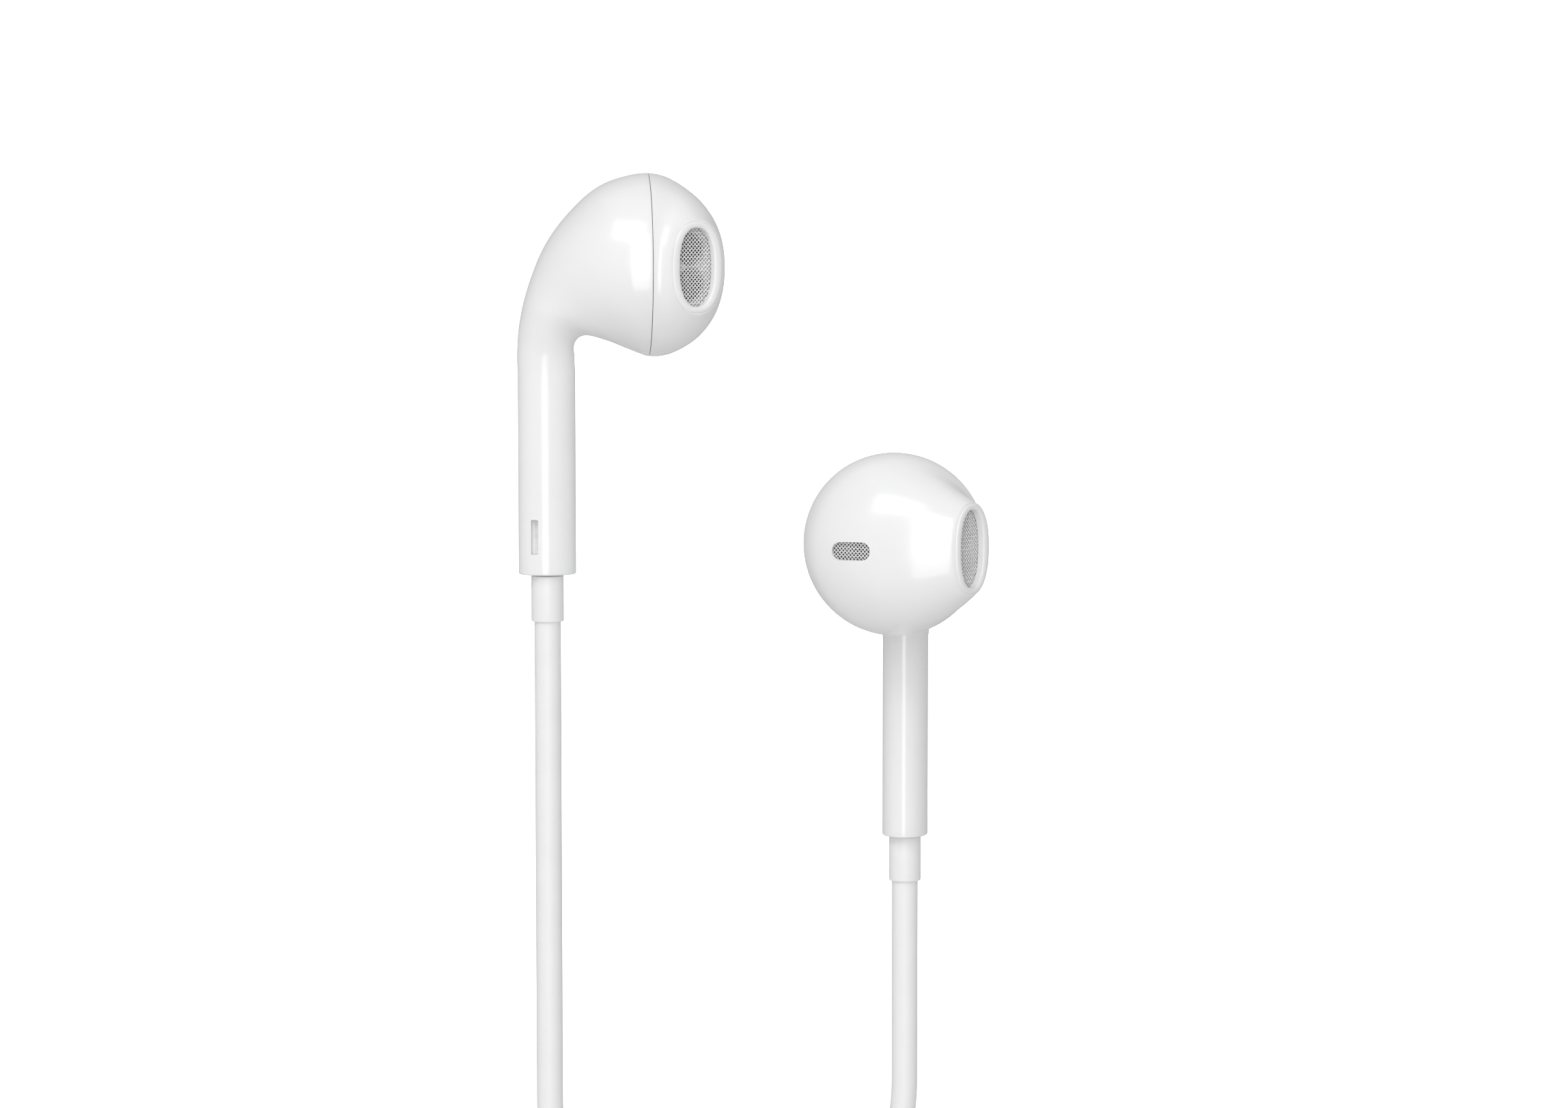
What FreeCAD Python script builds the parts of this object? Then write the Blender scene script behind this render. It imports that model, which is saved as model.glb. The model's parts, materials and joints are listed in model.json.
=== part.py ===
"""Wired earphones: mirrored earbuds on two branch cords, a splitter, a trunk cord and a 3.5 mm plug.

Millimetres, +Z up, +X to the right, +Y to the back. The pair hangs as if the left bud were held at its
nozzle: the centre of the left nozzle is the origin. A bud is drawn first in its own frame: X runs forward out
of the head, Y points to the nozzle's side, Z is up, the stem's axis is X = Y = 0 and the head's centre is at
Z = 0.
"""
import FreeCAD
import Part
import math
import os

V = FreeCAD.Vector
os.makedirs("parts", exist_ok=True)

# Head and stem
seam_radius = 8.24
seam_forward = 9.2
stem_depth = 5.2
stem_width = 4.2
stem_length = 27.9
wall = 0.8
neck_reach = 1.26
neck_drop = seam_radius + neck_reach

# Nozzle
nozzle_turn = 62.0
front_droop = 0.25
nozzle_near = 1.9
nozzle_reach = 1.46
nozzle_side = seam_radius + nozzle_reach
mouth_height = 7.0
mouth_breadth = 3.6
rim_height = 0.55
rim_breadth = 0.8
nozzle_height = mouth_height + 2 * rim_height
nozzle_breadth = mouth_breadth + 2 * rim_breadth
mouth_depth = 0.7
mouth_fullness = 1.12
grille_lap = 0.25
grille_thickness = 0.15
port_plate_thickness = 0.7
port_plate_gap = 0.3
port_margin = 0.5
port_web = 0.2
port_diameter = (mouth_height - 2 * port_margin - port_web) / 2
port_spacing = port_diameter + port_web
cavity_share = 0.84
cut_depth = 3 * wall

# Front vent
vent_length = 3.9
vent_height = 1.6
vent_side = -3.3
vent_rise = -0.2
vent_tilt = -2.0
vent_depth = 0.35
vent_lap = 0.3

# Slot near the end of the stem
slot_width = 0.62
slot_height = 3.15
slot_back = 1.2
slot_above_end = 1.9
slot_mesh_thickness = 0.25
slot_mesh_lap = 0.35

# Driver
fit = 0.05
driver_margin = 0.84
driver_radius = seam_radius - wall - driver_margin
driver_depth = 2.0
driver_wall = 0.4
flange_thickness = 0.3
gasket_thickness = 0.3
gasket_width = 0.6
yoke_radius = 3.55
yoke_depth = 3.3
yoke_wall = 0.55
magnet_radius = 2.4
magnet_thickness = 1.9
pole_thickness = 0.6
coil_gap = 0.12
coil_wall = 0.3
coil_height = 1.75
diaphragm_thickness = 0.12
diaphragm_dome = 0.9
diaphragm_clearance = 0.1
felt_thickness = 0.3
vent_hole_diameter = 1.1
vent_hole_count = 6
board_width = 3.2
board_height = 1.4
board_thickness = 0.4
lead_bend_share = 0.75
lead_bend_forward = 2.6

# Cable end in the stem
end_cap_thickness = 1.2
relief_diameter = 2.95
relief_length = 4.3
relief_neck_diameter = 1.65
relief_flange_gap = 0.2
relief_flange_diameter = stem_width - 2 * wall - 2 * relief_flange_gap
relief_flange_thickness = 0.6
core_diameter = 1.1
crimp_diameter = relief_flange_diameter - 0.3
crimp_length = 1.5
lead_diameter = 0.4

# Cords and splitter
branch_diameter = 2.4
trunk_diameter = 2.6
turn_gap = 0.1
branch_coil_radius = 14.4
branch_coil_turns = 2
branch_coil_gap = 1.0
trunk_coil_radius = 16.4
trunk_outer_turns = 4
tie_thickness = 0.6
tie_sweep = 24.0
bend_share = 0.45
splitter_length = 13.0
splitter_breadth = 6.6
splitter_depth = 4.0
splitter_wall = 0.5
splitter_end_wall = 0.6
branch_gap = 0.4

# How the pair hangs: the right bud's step back leaves room for the left branch's coil in front of its own
left_turn = 5.0
right_turn = -98.0
bud_spacing = 32.6
bud_step_down = 25.1
bud_step_back = branch_coil_turns * (branch_diameter + turn_gap) + branch_diameter + branch_coil_gap

# Runs of the cords, each below the one before, and the depths below the head's centre that they give
branch_run = 19.7
branch_slant = 11.0
branch_lead_in = 10.0
branch_lead_out = 14.0
splitter_slant = 13.0
splitter_lead = 12.0
trunk_run = 16.0
plug_run = 21.0
branch_bend_drop = bud_step_down + stem_length + relief_length + branch_run
branch_coil_drop = branch_bend_drop + branch_slant + branch_lead_in
branch_slant_drop = branch_coil_drop + branch_lead_out
splitter_lead_drop = branch_slant_drop + splitter_slant
splitter_top = splitter_lead_drop + splitter_lead
trunk_coil_drop = splitter_top + splitter_length + trunk_run
plug_top = trunk_coil_drop + plug_run

# Plug
plug_relief_length = 8.0
plug_relief_diameter = 3.6
plug_grip_diameter = 6.2
plug_grip_length = 16.0
plug_grip_edge = 0.775
plug_pin_diameter = 3.5
plug_pin_length = 14.0
plug_tip_length = 2.5
plug_tip_waist = 0.5
plug_band = 0.6
plug_ring_length = 2.2
plug_core_diameter = 1.6


def rod(start, direction, radius, length):
    return Part.makeCylinder(radius, length, start, direction)


def disc(forward, thickness, outer, inner=0.0):
    """A disc or washer on the driver's axis, its back face at the given distance forward of the stem."""
    solid = rod(V(forward, 0, 0), V(1, 0, 0), outer, thickness)
    if inner:
        solid = solid.cut(rod(V(forward, 0, 0), V(1, 0, 0), inner, thickness))
    return solid


def ring_wire(place, near, far, half_height, fullness=1.0):
    """A closed oval between two distances from a hinge line: fullness 1 is an ellipse, more is squarer."""
    middle = (near + far) / 2
    half = (far - near) / 2
    corners = ((1, 0), (1, 1), (0, 1), (-1, 1), (-1, 0), (-1, -1), (0, -1), (1, -1), (1, 0))
    poles = [place(middle + half * across, half_height * up) for across, up in corners]
    weights = [1.0, fullness * math.sqrt(0.5)] * 4 + [1.0]
    curve = Part.BSplineCurve()
    curve.buildFromPolesMultsKnots(poles, (3, 2, 2, 2, 3), (0, 1, 2, 3, 4), False, 2, weights)
    return Part.Wire(curve.toShape())


# Sections of the rear shell, fanned about a level line under the seam: degrees from the seam, then how much
# of the head is left in the back line, how much of the stem is reached in the under line, and how much of the
# head's width is left
rear_sections = (
    (0, 1.0, 0.0, 1.0),
    (5, 0.985, 0.004, 0.995),
    (15, 0.9, 0.02, 0.955),
    (27, 0.685, 0.075, 0.84),
    (38, 0.5, 0.17, 0.67),
    (48, 0.335, 0.355, 0.49),
    (55, 0.24, 0.65, 0.365),
    (61, 0.175, 0.98, 0.26),
    (69, 0.105, 1.09, 0.145),
    (80, 0.035, 1.03, 0.04),
    (90, 0.0, 1.0, 0.0),
)

# Sections of the front shell, fanned about an upright line beside the nozzle: share of the nozzle's turn,
# then how much of the head is left in the far edge, in the near edge and in the height, and the fullness
front_sections = (
    (0.0, 1.0, 1.0, 1.0, 1.0),
    (0.1, 0.965, 0.9, 0.98, 1.0),
    (0.2, 0.89, 0.8, 0.905, 1.0),
    (0.4, 0.64, 0.6, 0.67, 1.0),
    (0.6, 0.365, 0.4, 0.42, 1.03),
    (0.8, 0.145, 0.2, 0.195, 1.07),
    (1.0, 0.0, 0.0, 0.0, 1.12),
)


def rear_loft(inset):
    """The rear shell's form, from the seam round the neck and down the stem, shrunk all round by an inset."""
    head_far = neck_drop + seam_radius
    head_near = neck_drop - seam_radius
    stem_far = seam_forward + stem_depth / 2
    stem_near = seam_forward - stem_depth / 2
    wires = []
    for degrees, back, under, width in rear_sections:
        turn = math.radians(degrees)
        far = stem_far + (head_far - stem_far) * back - inset
        near = head_near + (stem_near - head_near) * under + inset
        half = stem_width / 2 + (seam_radius - stem_width / 2) * width - inset

        def place(reach, side, turn=turn):
            return V(seam_forward - reach * math.sin(turn), side, reach * math.cos(turn) - neck_drop)

        wires.append(ring_wire(place, near, far, half))
    neck = wires[-1]
    stem = neck.extrude(V(0, 0, neck_drop - stem_length))
    end = neck.copy()
    end.translate(V(0, 0, neck_drop - stem_length))
    faces = Part.makeLoft(wires, False, False).Faces + stem.Faces
    shell = Part.makeShell(faces + [Part.Face(wires[0]), Part.Face(end)])
    shell.sewShape()
    return Part.makeSolid(shell)


def front_place(share):
    """Places a point of a front section by its reach from the upright hinge line and its height."""
    turn = math.radians(nozzle_turn * share)
    droop = front_droop * math.sin(math.pi * share)

    def place(reach, height):
        return V(seam_forward + reach * math.sin(turn), nozzle_side - reach * math.cos(turn), height - droop)

    return place


def front_loft(inset, last_share):
    """The front shell's form from the seam towards the nozzle, shrunk all round by an inset."""
    wires = []
    for share, far_left, near_left, height_left, fullness in front_sections:
        nozzle_far = nozzle_near + nozzle_breadth
        far = nozzle_far + (nozzle_side + seam_radius - nozzle_far) * far_left - inset
        near = nozzle_near + (nozzle_side - seam_radius - nozzle_near) * near_left + inset
        half = nozzle_height / 2 + (seam_radius - nozzle_height / 2) * height_left - inset
        wires.append(ring_wire(front_place(share * last_share), near, far, half, fullness))
    return Part.makeLoft(wires, True, False)


nozzle_angle = math.radians(nozzle_turn)
nozzle_out = V(math.cos(nozzle_angle), math.sin(nozzle_angle), 0)
nozzle_centre = front_place(1.0)(nozzle_near + nozzle_breadth / 2, 0)


def nozzle_oval(depth, thickness, height, breadth):
    """An oval block square to the nozzle's axis: its outer face lies at a depth below the rim."""
    outer = nozzle_centre - nozzle_out * depth
    along = V(math.sin(nozzle_angle), -math.cos(nozzle_angle), 0)

    def place(reach, rise):
        return outer + along * reach + V(0, 0, rise)

    wire = ring_wire(place, -breadth / 2, breadth / 2, height / 2, mouth_fullness)
    return Part.Face(wire).extrude(nozzle_out * -thickness)


def oblong(centre, out, length, height, thickness, tilt):
    """A block with round ends, its outer face through the centre and its length level but for the tilt."""
    level = V(0, 0, 1).cross(out).normalize()
    up = out.cross(level)
    lean = math.radians(tilt)
    along = level * math.cos(lean) + up * math.sin(lean)
    over = out.cross(along)
    half = (length - height) / 2
    radius = height / 2
    right = centre + along * half
    left = centre - along * half
    edges = [
        Part.LineSegment(left + over * radius, right + over * radius).toShape(),
        Part.Arc(right + over * radius, right + along * radius, right - over * radius).toShape(),
        Part.LineSegment(right - over * radius, left - over * radius).toShape(),
        Part.Arc(left - over * radius, left - along * radius, left + over * radius).toShape(),
    ]
    return Part.Face(Part.Wire(edges)).extrude(out * -thickness)


def stem_prism(inset, top, bottom):
    """The straight oval stem, shrunk all round by an inset, between two heights."""

    def place(reach, side):
        return V(reach, side, bottom)

    half = stem_depth / 2 - inset
    wire = ring_wire(place, -half, half, stem_width / 2 - inset)
    return Part.Face(wire).extrude(V(0, 0, top - bottom))


def vent_frame(form):
    """The point where the vent's axis meets the front form, and the way out of it."""
    start = V(seam_forward, vent_side, vent_rise)
    probe = Part.makeLine(start, start + V(2 * seam_radius, 0, 0))
    inside = form.common(probe)
    point = V(inside.BoundBox.XMax, vent_side, vent_rise)
    face = min(form.Faces, key=lambda item: item.distToShape(Part.Vertex(point))[0])
    u, v = face.Surface.parameter(point)
    out = face.normalAt(u, v)
    return point, out


def rear_housing():
    corner = V(-slot_back - slot_width / 2, 0, -stem_length + slot_above_end)
    slot = Part.makeBox(slot_width, stem_width, slot_height, corner)
    return rear_loft(0.0).cut(rear_loft(wall)).cut(slot)


def front_housing():
    form = front_loft(0.0, 1.0)
    point, out = vent_frame(form)
    shell = form.cut(front_loft(wall, cavity_share))
    shell = shell.cut(nozzle_oval(-wall, wall + mouth_depth + fit, mouth_height, mouth_breadth))
    pocket_height = mouth_height + 2 * grille_lap
    pocket_breadth = mouth_breadth + 2 * grille_lap
    shell = shell.cut(nozzle_oval(mouth_depth, cut_depth, pocket_height, pocket_breadth))
    shell = shell.cut(oblong(point + out * wall, out, vent_length, vent_height, cut_depth, vent_tilt))
    recess = point - out * vent_depth
    pocket_length = vent_length + 2 * vent_lap
    shell = shell.cut(oblong(recess, out, pocket_length, vent_height + 2 * vent_lap, cut_depth, vent_tilt))
    return max(shell.Solids, key=lambda item: item.Volume)


def nozzle_grille():
    lap = 2 * (grille_lap - fit)
    return nozzle_oval(mouth_depth, grille_thickness, mouth_height + lap, mouth_breadth + lap)


def nozzle_port_plate():
    lap = 2 * (grille_lap - fit)
    depth = mouth_depth + grille_thickness + port_plate_gap
    plate = nozzle_oval(depth, port_plate_thickness, mouth_height + lap, mouth_breadth + lap)
    for side in (-1, 1):
        centre = nozzle_centre + V(0, 0, side * port_spacing / 2)
        plate = plate.cut(rod(centre, -nozzle_out, port_diameter / 2, depth + 2 * port_plate_thickness))
    return plate


def vent_grille():
    point, out = vent_frame(front_loft(0.0, 1.0))
    lap = 2 * (vent_lap - fit)
    place = point - out * vent_depth
    return oblong(place, out, vent_length + lap, vent_height + lap, grille_thickness, vent_tilt)


# Places along the driver's axis, from the stem forward
frame_back = seam_forward - driver_depth
plate_front = frame_back + driver_wall
yoke_back = plate_front + driver_wall - yoke_depth
pole_front = yoke_back + yoke_wall + magnet_thickness + pole_thickness
coil_inner = magnet_radius + coil_gap
coil_front = seam_forward - diaphragm_thickness - driver_wall


def driver_frame():
    """A stamped cup that carries the magnet system, with vents in its floor and a flange in the seam."""
    back = disc(frame_back, driver_wall, driver_radius - driver_wall / 2, yoke_radius + fit)
    skirt = disc(plate_front, driver_depth - driver_wall, driver_radius, driver_radius - driver_wall)
    flange_radius = seam_radius - wall - 2 * fit
    flange_inner = driver_radius - driver_wall
    flange = disc(seam_forward - flange_thickness, flange_thickness, flange_radius, flange_inner)
    body = back.fuse(skirt).fuse(flange)
    ring = (yoke_radius + driver_radius - driver_wall) / 2
    for index in range(vent_hole_count):
        angle = math.tau * index / vent_hole_count
        centre = V(frame_back, ring * math.cos(angle), ring * math.sin(angle))
        body = body.cut(rod(centre, V(1, 0, 0), vent_hole_diameter / 2, driver_wall))
    return body.removeSplitter()


def driver_yoke():
    outer = disc(yoke_back, yoke_depth, yoke_radius)
    return outer.cut(disc(yoke_back + yoke_wall, yoke_depth, yoke_radius - yoke_wall))


def driver_magnet():
    return disc(yoke_back + yoke_wall, magnet_thickness, magnet_radius)


def driver_pole_plate():
    return disc(yoke_back + yoke_wall + magnet_thickness, pole_thickness, magnet_radius)


def voice_coil():
    return disc(coil_front - coil_height, coil_height, coil_inner + coil_wall, coil_inner)


def dome_arc(back, foot, rise):
    """Half of a round dome's outline, from the driver's axis out to its foot."""
    radius = (foot ** 2 + rise ** 2) / (2 * rise)
    half = math.asin(foot / radius) / 2
    centre = back + rise - radius
    middle = V(centre + radius * math.cos(half), radius * math.sin(half), 0)
    return Part.Arc(V(back + rise, 0, 0), middle, V(back, foot, 0)).toShape()


def diaphragm():
    """A thin sheet: a dome over the coil and a rolled surround out to its edge."""
    edge = driver_radius - driver_wall - diaphragm_clearance
    foot = coil_inner + coil_wall
    middle = (foot + edge) / 2
    rise = diaphragm_dome / 2
    back = coil_front
    front = coil_front + diaphragm_thickness
    dome = diaphragm_dome
    edges = [
        dome_arc(back, foot, dome),
        Part.Arc(V(back, foot, 0), V(back + rise, middle, 0), V(back, edge, 0)).toShape(),
        Part.LineSegment(V(back, edge, 0), V(front, edge, 0)).toShape(),
        Part.Arc(V(front, edge, 0), V(front + rise, middle, 0), V(front, foot, 0)).toShape(),
        dome_arc(front, foot, dome),
        Part.LineSegment(V(front + dome, 0, 0), V(back + dome, 0, 0)).toShape(),
    ]
    return Part.Face(Part.Wire(edges)).revolve(V(0, 0, 0), V(1, 0, 0), 360)


def damping_felt():
    inner = yoke_radius + fit
    ring = disc(frame_back - felt_thickness, felt_thickness, driver_radius - 2 * driver_wall, inner)
    return ring.cut(board_box(fit))


def board_box(margin):
    """The terminal board's block on the frame's back, under the yoke, grown by a margin."""
    low = -driver_radius + 2 * driver_wall
    corner = V(frame_back - board_thickness - margin, -board_width / 2 - margin, low - margin)
    return Part.makeBox(board_thickness + margin, board_width + 2 * margin, board_height + 2 * margin, corner)


def terminal_board():
    return board_box(0.0)


def seam_gasket():
    outer = seam_radius - wall - 2 * fit
    return disc(seam_forward, gasket_thickness, outer, outer - gasket_width)


def stem_port_mesh():
    """A strip of mesh glued to the stem's inner wall behind the slot."""
    width = slot_width + 2 * slot_mesh_lap
    height = slot_height + 2 * slot_mesh_lap
    bottom = -stem_length + slot_above_end - slot_mesh_lap
    block = Part.makeBox(width, stem_width, height, V(-slot_back - width / 2, 0, bottom))
    outer = stem_prism(wall, bottom + height, bottom)
    return block.common(outer).cut(stem_prism(wall + slot_mesh_thickness, bottom + height, bottom))


def stem_end_cap():
    cap = stem_prism(wall + fit, -stem_length + end_cap_thickness, -stem_length)
    return cap.cut(rod(V(0, 0, -stem_length), V(0, 0, 1), relief_neck_diameter / 2 + fit, end_cap_thickness))


def strain_relief():
    """A soft sleeve moulded on the cable, with a neck through the stem's end cap and a flange above it."""
    top = -stem_length + end_cap_thickness
    sleeve = rod(V(0, 0, -stem_length - relief_length), V(0, 0, 1), relief_diameter / 2, relief_length)
    neck = rod(V(0, 0, -stem_length), V(0, 0, 1), relief_neck_diameter / 2, end_cap_thickness)
    flange = rod(V(0, 0, top), V(0, 0, 1), relief_flange_diameter / 2, relief_flange_thickness)
    body = sleeve.fuse(neck).fuse(flange).removeSplitter()
    bore = rod(V(0, 0, -stem_length - relief_length / 2), V(0, 0, 1), core_diameter / 2, 2 * relief_length)
    return body.cut(bore)


def cable_crimp():
    bottom = -stem_length + end_cap_thickness + relief_flange_thickness
    crimp = rod(V(0, 0, bottom), V(0, 0, 1), crimp_diameter / 2, crimp_length)
    return crimp.cut(rod(V(0, 0, bottom), V(0, 0, 1), core_diameter / 2, crimp_length))


def rounded_path(points):
    """Straight runs joined by tangent arcs; each arc is as large as its two runs allow."""
    edges = []
    radii = []
    start = points[0]
    for before, corner, after in zip(points, points[1:], points[2:]):
        back = before - corner
        ahead = after - corner
        half_turn = (math.pi - back.getAngle(ahead)) / 2
        reach = bend_share * min(back.Length, ahead.Length)
        radius = reach / math.tan(half_turn)
        radii.append(round(radius, 1))
        back.normalize()
        ahead.normalize()
        middle = back + ahead
        middle.normalize()
        enter = corner + back * reach
        leave = corner + ahead * reach
        top = corner + middle * (radius / math.cos(half_turn) - radius)
        edges.append(Part.LineSegment(start, enter).toShape())
        edges.append(Part.Arc(enter, top, leave).toShape())
        start = leave
    edges.append(Part.LineSegment(start, points[-1]).toShape())
    return Part.Wire(edges), radii


def tube(name, points, diameter):
    """A round cord along its route, with its volume compared with its section times its length."""
    path, radii = rounded_path(points)
    section = Part.Wire(Part.makeCircle(diameter / 2, points[0], points[1] - points[0]))
    solid = path.makePipeShell([section], True, False)
    share = solid.Volume / (math.pi * diameter ** 2 / 4 * path.Length)
    print(name, "length", round(path.Length, 1), "radii", radii, "volume share", round(share, 4))
    return solid


def driver_leads():
    """The two enamelled leads, from the crimp up the stem to the terminal board."""
    bottom = -stem_length + end_cap_thickness + relief_flange_thickness + crimp_length
    board_middle = -driver_radius + 2 * driver_wall + board_height / 2
    board_back = frame_back - board_thickness
    leads = []
    for side in (-1, 1):
        y = side * (lead_diameter / 2 + fit)
        points = [
            V(0, y, bottom),
            V(0, y, -lead_bend_share * neck_drop),
            V(lead_bend_forward, y, board_middle),
            V(board_back, y, board_middle),
        ]
        leads.append(tube("lead", points, lead_diameter))
    return Part.makeCompound(leads)


bud_pieces = {
    "rear_housing": rear_housing,
    "front_housing": front_housing,
    "nozzle_grille": nozzle_grille,
    "nozzle_port_plate": nozzle_port_plate,
    "vent_grille": vent_grille,
    "driver_frame": driver_frame,
    "driver_yoke": driver_yoke,
    "driver_magnet": driver_magnet,
    "driver_pole_plate": driver_pole_plate,
    "voice_coil": voice_coil,
    "diaphragm": diaphragm,
    "damping_felt": damping_felt,
    "terminal_board": terminal_board,
    "seam_gasket": seam_gasket,
    "stem_port_mesh": stem_port_mesh,
    "stem_end_cap": stem_end_cap,
    "strain_relief": strain_relief,
    "cable_crimp": cable_crimp,
    "driver_leads": driver_leads,
}


def turned(point, degrees):
    return FreeCAD.Rotation(V(0, 0, 1), degrees).multVec(point)


left_nozzle = turned(V(nozzle_centre.x, -nozzle_centre.y, 0), left_turn)
left_stem = V(-left_nozzle.x, -left_nozzle.y, 0)
right_stem = left_stem + V(bud_spacing, bud_step_back, -bud_step_down)


def save(name, shape):
    shape.exportStep("parts/" + name + ".step")


def save_buds():
    for name, make in bud_pieces.items():
        piece = make()
        right = piece.copy()
        right.Placement = FreeCAD.Placement(right_stem, FreeCAD.Rotation(V(0, 0, 1), right_turn))
        save("right_" + name, right)
        left = piece.mirror(V(0, 0, 0), V(0, 1, 0))
        stance = FreeCAD.Placement(left_stem, FreeCAD.Rotation(V(0, 0, 1), left_turn))
        left.Placement = stance.multiply(left.Placement)
        save("left_" + name, left)


# Where the cords run
relief_drop = stem_length + relief_length
cord_middle = left_stem.x + bud_spacing / 2
branch_pitch = branch_diameter + turn_gap
trunk_pitch = trunk_diameter + turn_gap
left_back = left_stem.y
left_out_back = left_back + branch_coil_turns * branch_pitch
right_back = left_back + bud_step_back
right_out_back = right_back + branch_coil_turns * branch_pitch
splitter_back = (left_out_back + right_out_back) / 2
trunk_coil_middle = cord_middle + trunk_coil_radius
trunk_out_back = splitter_back - trunk_pitch


def coil_ring(middle, drop, profile, sweep=360.0, start=0.0):
    """A ring about a level axis that runs to the back, from a closed profile of (radius, distance back)."""
    corners = [V(middle + radius, back, -drop) for radius, back in profile]
    face = Part.Face(Part.makePolygon(corners + corners[:1]))
    ring = face.revolve(V(middle, 0, -drop), V(0, 1, 0), sweep)
    ring.rotate(V(middle, 0, -drop), V(0, 1, 0), start)
    return ring


def box_profile(inner, outer, front, back):
    return [(inner, front), (outer, front), (outer, back), (inner, back)]


def branch_coil(front, back):
    half = branch_diameter / 2
    profile = box_profile(branch_coil_radius - half, branch_coil_radius + half, front - half, back + half)
    return coil_ring(cord_middle, branch_coil_drop, profile)


def save_branch(name, side, stem, relief_end, in_back, out_back):
    """One branch: straight from its bud, a neat coil, and on down to the splitter."""
    edge = cord_middle + side * branch_coil_radius
    mouth = cord_middle + side * (branch_diameter + branch_gap) / 2
    coil = branch_coil(in_back, out_back)
    upper_route = [
        V(stem.x, stem.y, relief_end),
        V(stem.x, stem.y, -branch_bend_drop),
        V(edge, in_back, -branch_bend_drop - branch_slant),
        V(edge, in_back, -branch_coil_drop),
    ]
    lower_route = [
        V(edge, out_back, -branch_coil_drop),
        V(edge, out_back, -branch_slant_drop),
        V(mouth, splitter_back, -splitter_lead_drop),
        V(mouth, splitter_back, -splitter_top),
    ]
    save(name + "_cord_upper", tube(name + " upper", upper_route, branch_diameter).cut(coil))
    save(name + "_cord_coil", coil)
    save(name + "_cord_lower", tube(name + " lower", lower_route, branch_diameter).cut(coil))


def save_trunk():
    """The trunk cord: down from the splitter, a two-layer coil, and down its front face to the plug."""
    half = trunk_diameter / 2
    outer_radius = trunk_coil_radius
    inner_radius = trunk_coil_radius - trunk_pitch
    front = splitter_back - half
    step_front = trunk_out_back - half
    back = splitter_back + trunk_outer_turns * trunk_pitch + half
    step = inner_radius + half
    profile = [
        (inner_radius - half, step_front),
        (step, step_front),
        (step, front),
        (outer_radius + half, front),
        (outer_radius + half, back),
        (inner_radius - half, back),
    ]
    coil = coil_ring(trunk_coil_middle, trunk_coil_drop, profile)
    edge = trunk_coil_middle - outer_radius
    out_edge = trunk_coil_middle - inner_radius
    splitter_end = splitter_top + splitter_length
    upper = [V(edge, splitter_back, -splitter_end), V(edge, splitter_back, -trunk_coil_drop)]
    lower = [V(out_edge, trunk_out_back, -trunk_coil_drop), V(out_edge, trunk_out_back, -plug_top)]
    save("trunk_cord_upper", tube("trunk upper", upper, trunk_diameter).cut(coil))
    save("trunk_cord_coil", coil)
    save("trunk_cord_lower", tube("trunk lower", lower, trunk_diameter).cut(coil))
    inner = inner_radius - half
    outer = outer_radius + half
    save("trunk_coil_tie", coil_band(trunk_coil_middle, trunk_coil_drop, inner, outer, step_front, back))


def coil_band(middle, drop, inner, outer, front, back):
    """A flat band round a coil's bundle, on the coil's right side."""
    thick = tie_thickness
    grown = box_profile(inner - thick, outer + thick, front - thick, back + thick)
    whole = coil_ring(middle, drop, grown, tie_sweep, -tie_sweep / 2)
    hollow = coil_ring(middle, drop, box_profile(inner, outer, front, back), tie_sweep, -tie_sweep / 2)
    return whole.cut(hollow)


def save_branch_tie():
    half = branch_diameter / 2
    inner = branch_coil_radius - half
    outer = branch_coil_radius + half
    band = coil_band(cord_middle, branch_coil_drop, inner, outer, left_back - half, right_out_back + half)
    band.rotate(V(cord_middle, 0, -branch_coil_drop), V(0, 1, 0), 90)
    save("branch_coil_tie", band)


def oval_wire(x, y, z, breadth, depth):
    wire = Part.Wire(Part.Ellipse(V(0, 0, 0), breadth / 2, depth / 2).toShape())
    wire.translate(V(x, y, z))
    return wire


def splitter_form(inset):
    bottom = trunk_diameter + 2 * splitter_end_wall
    low = -splitter_top - splitter_length
    breadth = splitter_breadth - inset
    depth = splitter_depth - inset
    top_wire = oval_wire(cord_middle, splitter_back, -splitter_top, breadth, depth)
    low_wire = oval_wire(cord_middle, splitter_back, low, bottom + fit - inset, bottom - inset)
    return Part.makeLoft([low_wire, top_wire], True, True)


def save_splitter():
    save("splitter_sleeve", splitter_form(0.0).cut(splitter_form(2 * splitter_wall)))
    save("splitter_core", splitter_form(2 * splitter_wall + 2 * fit))


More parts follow.
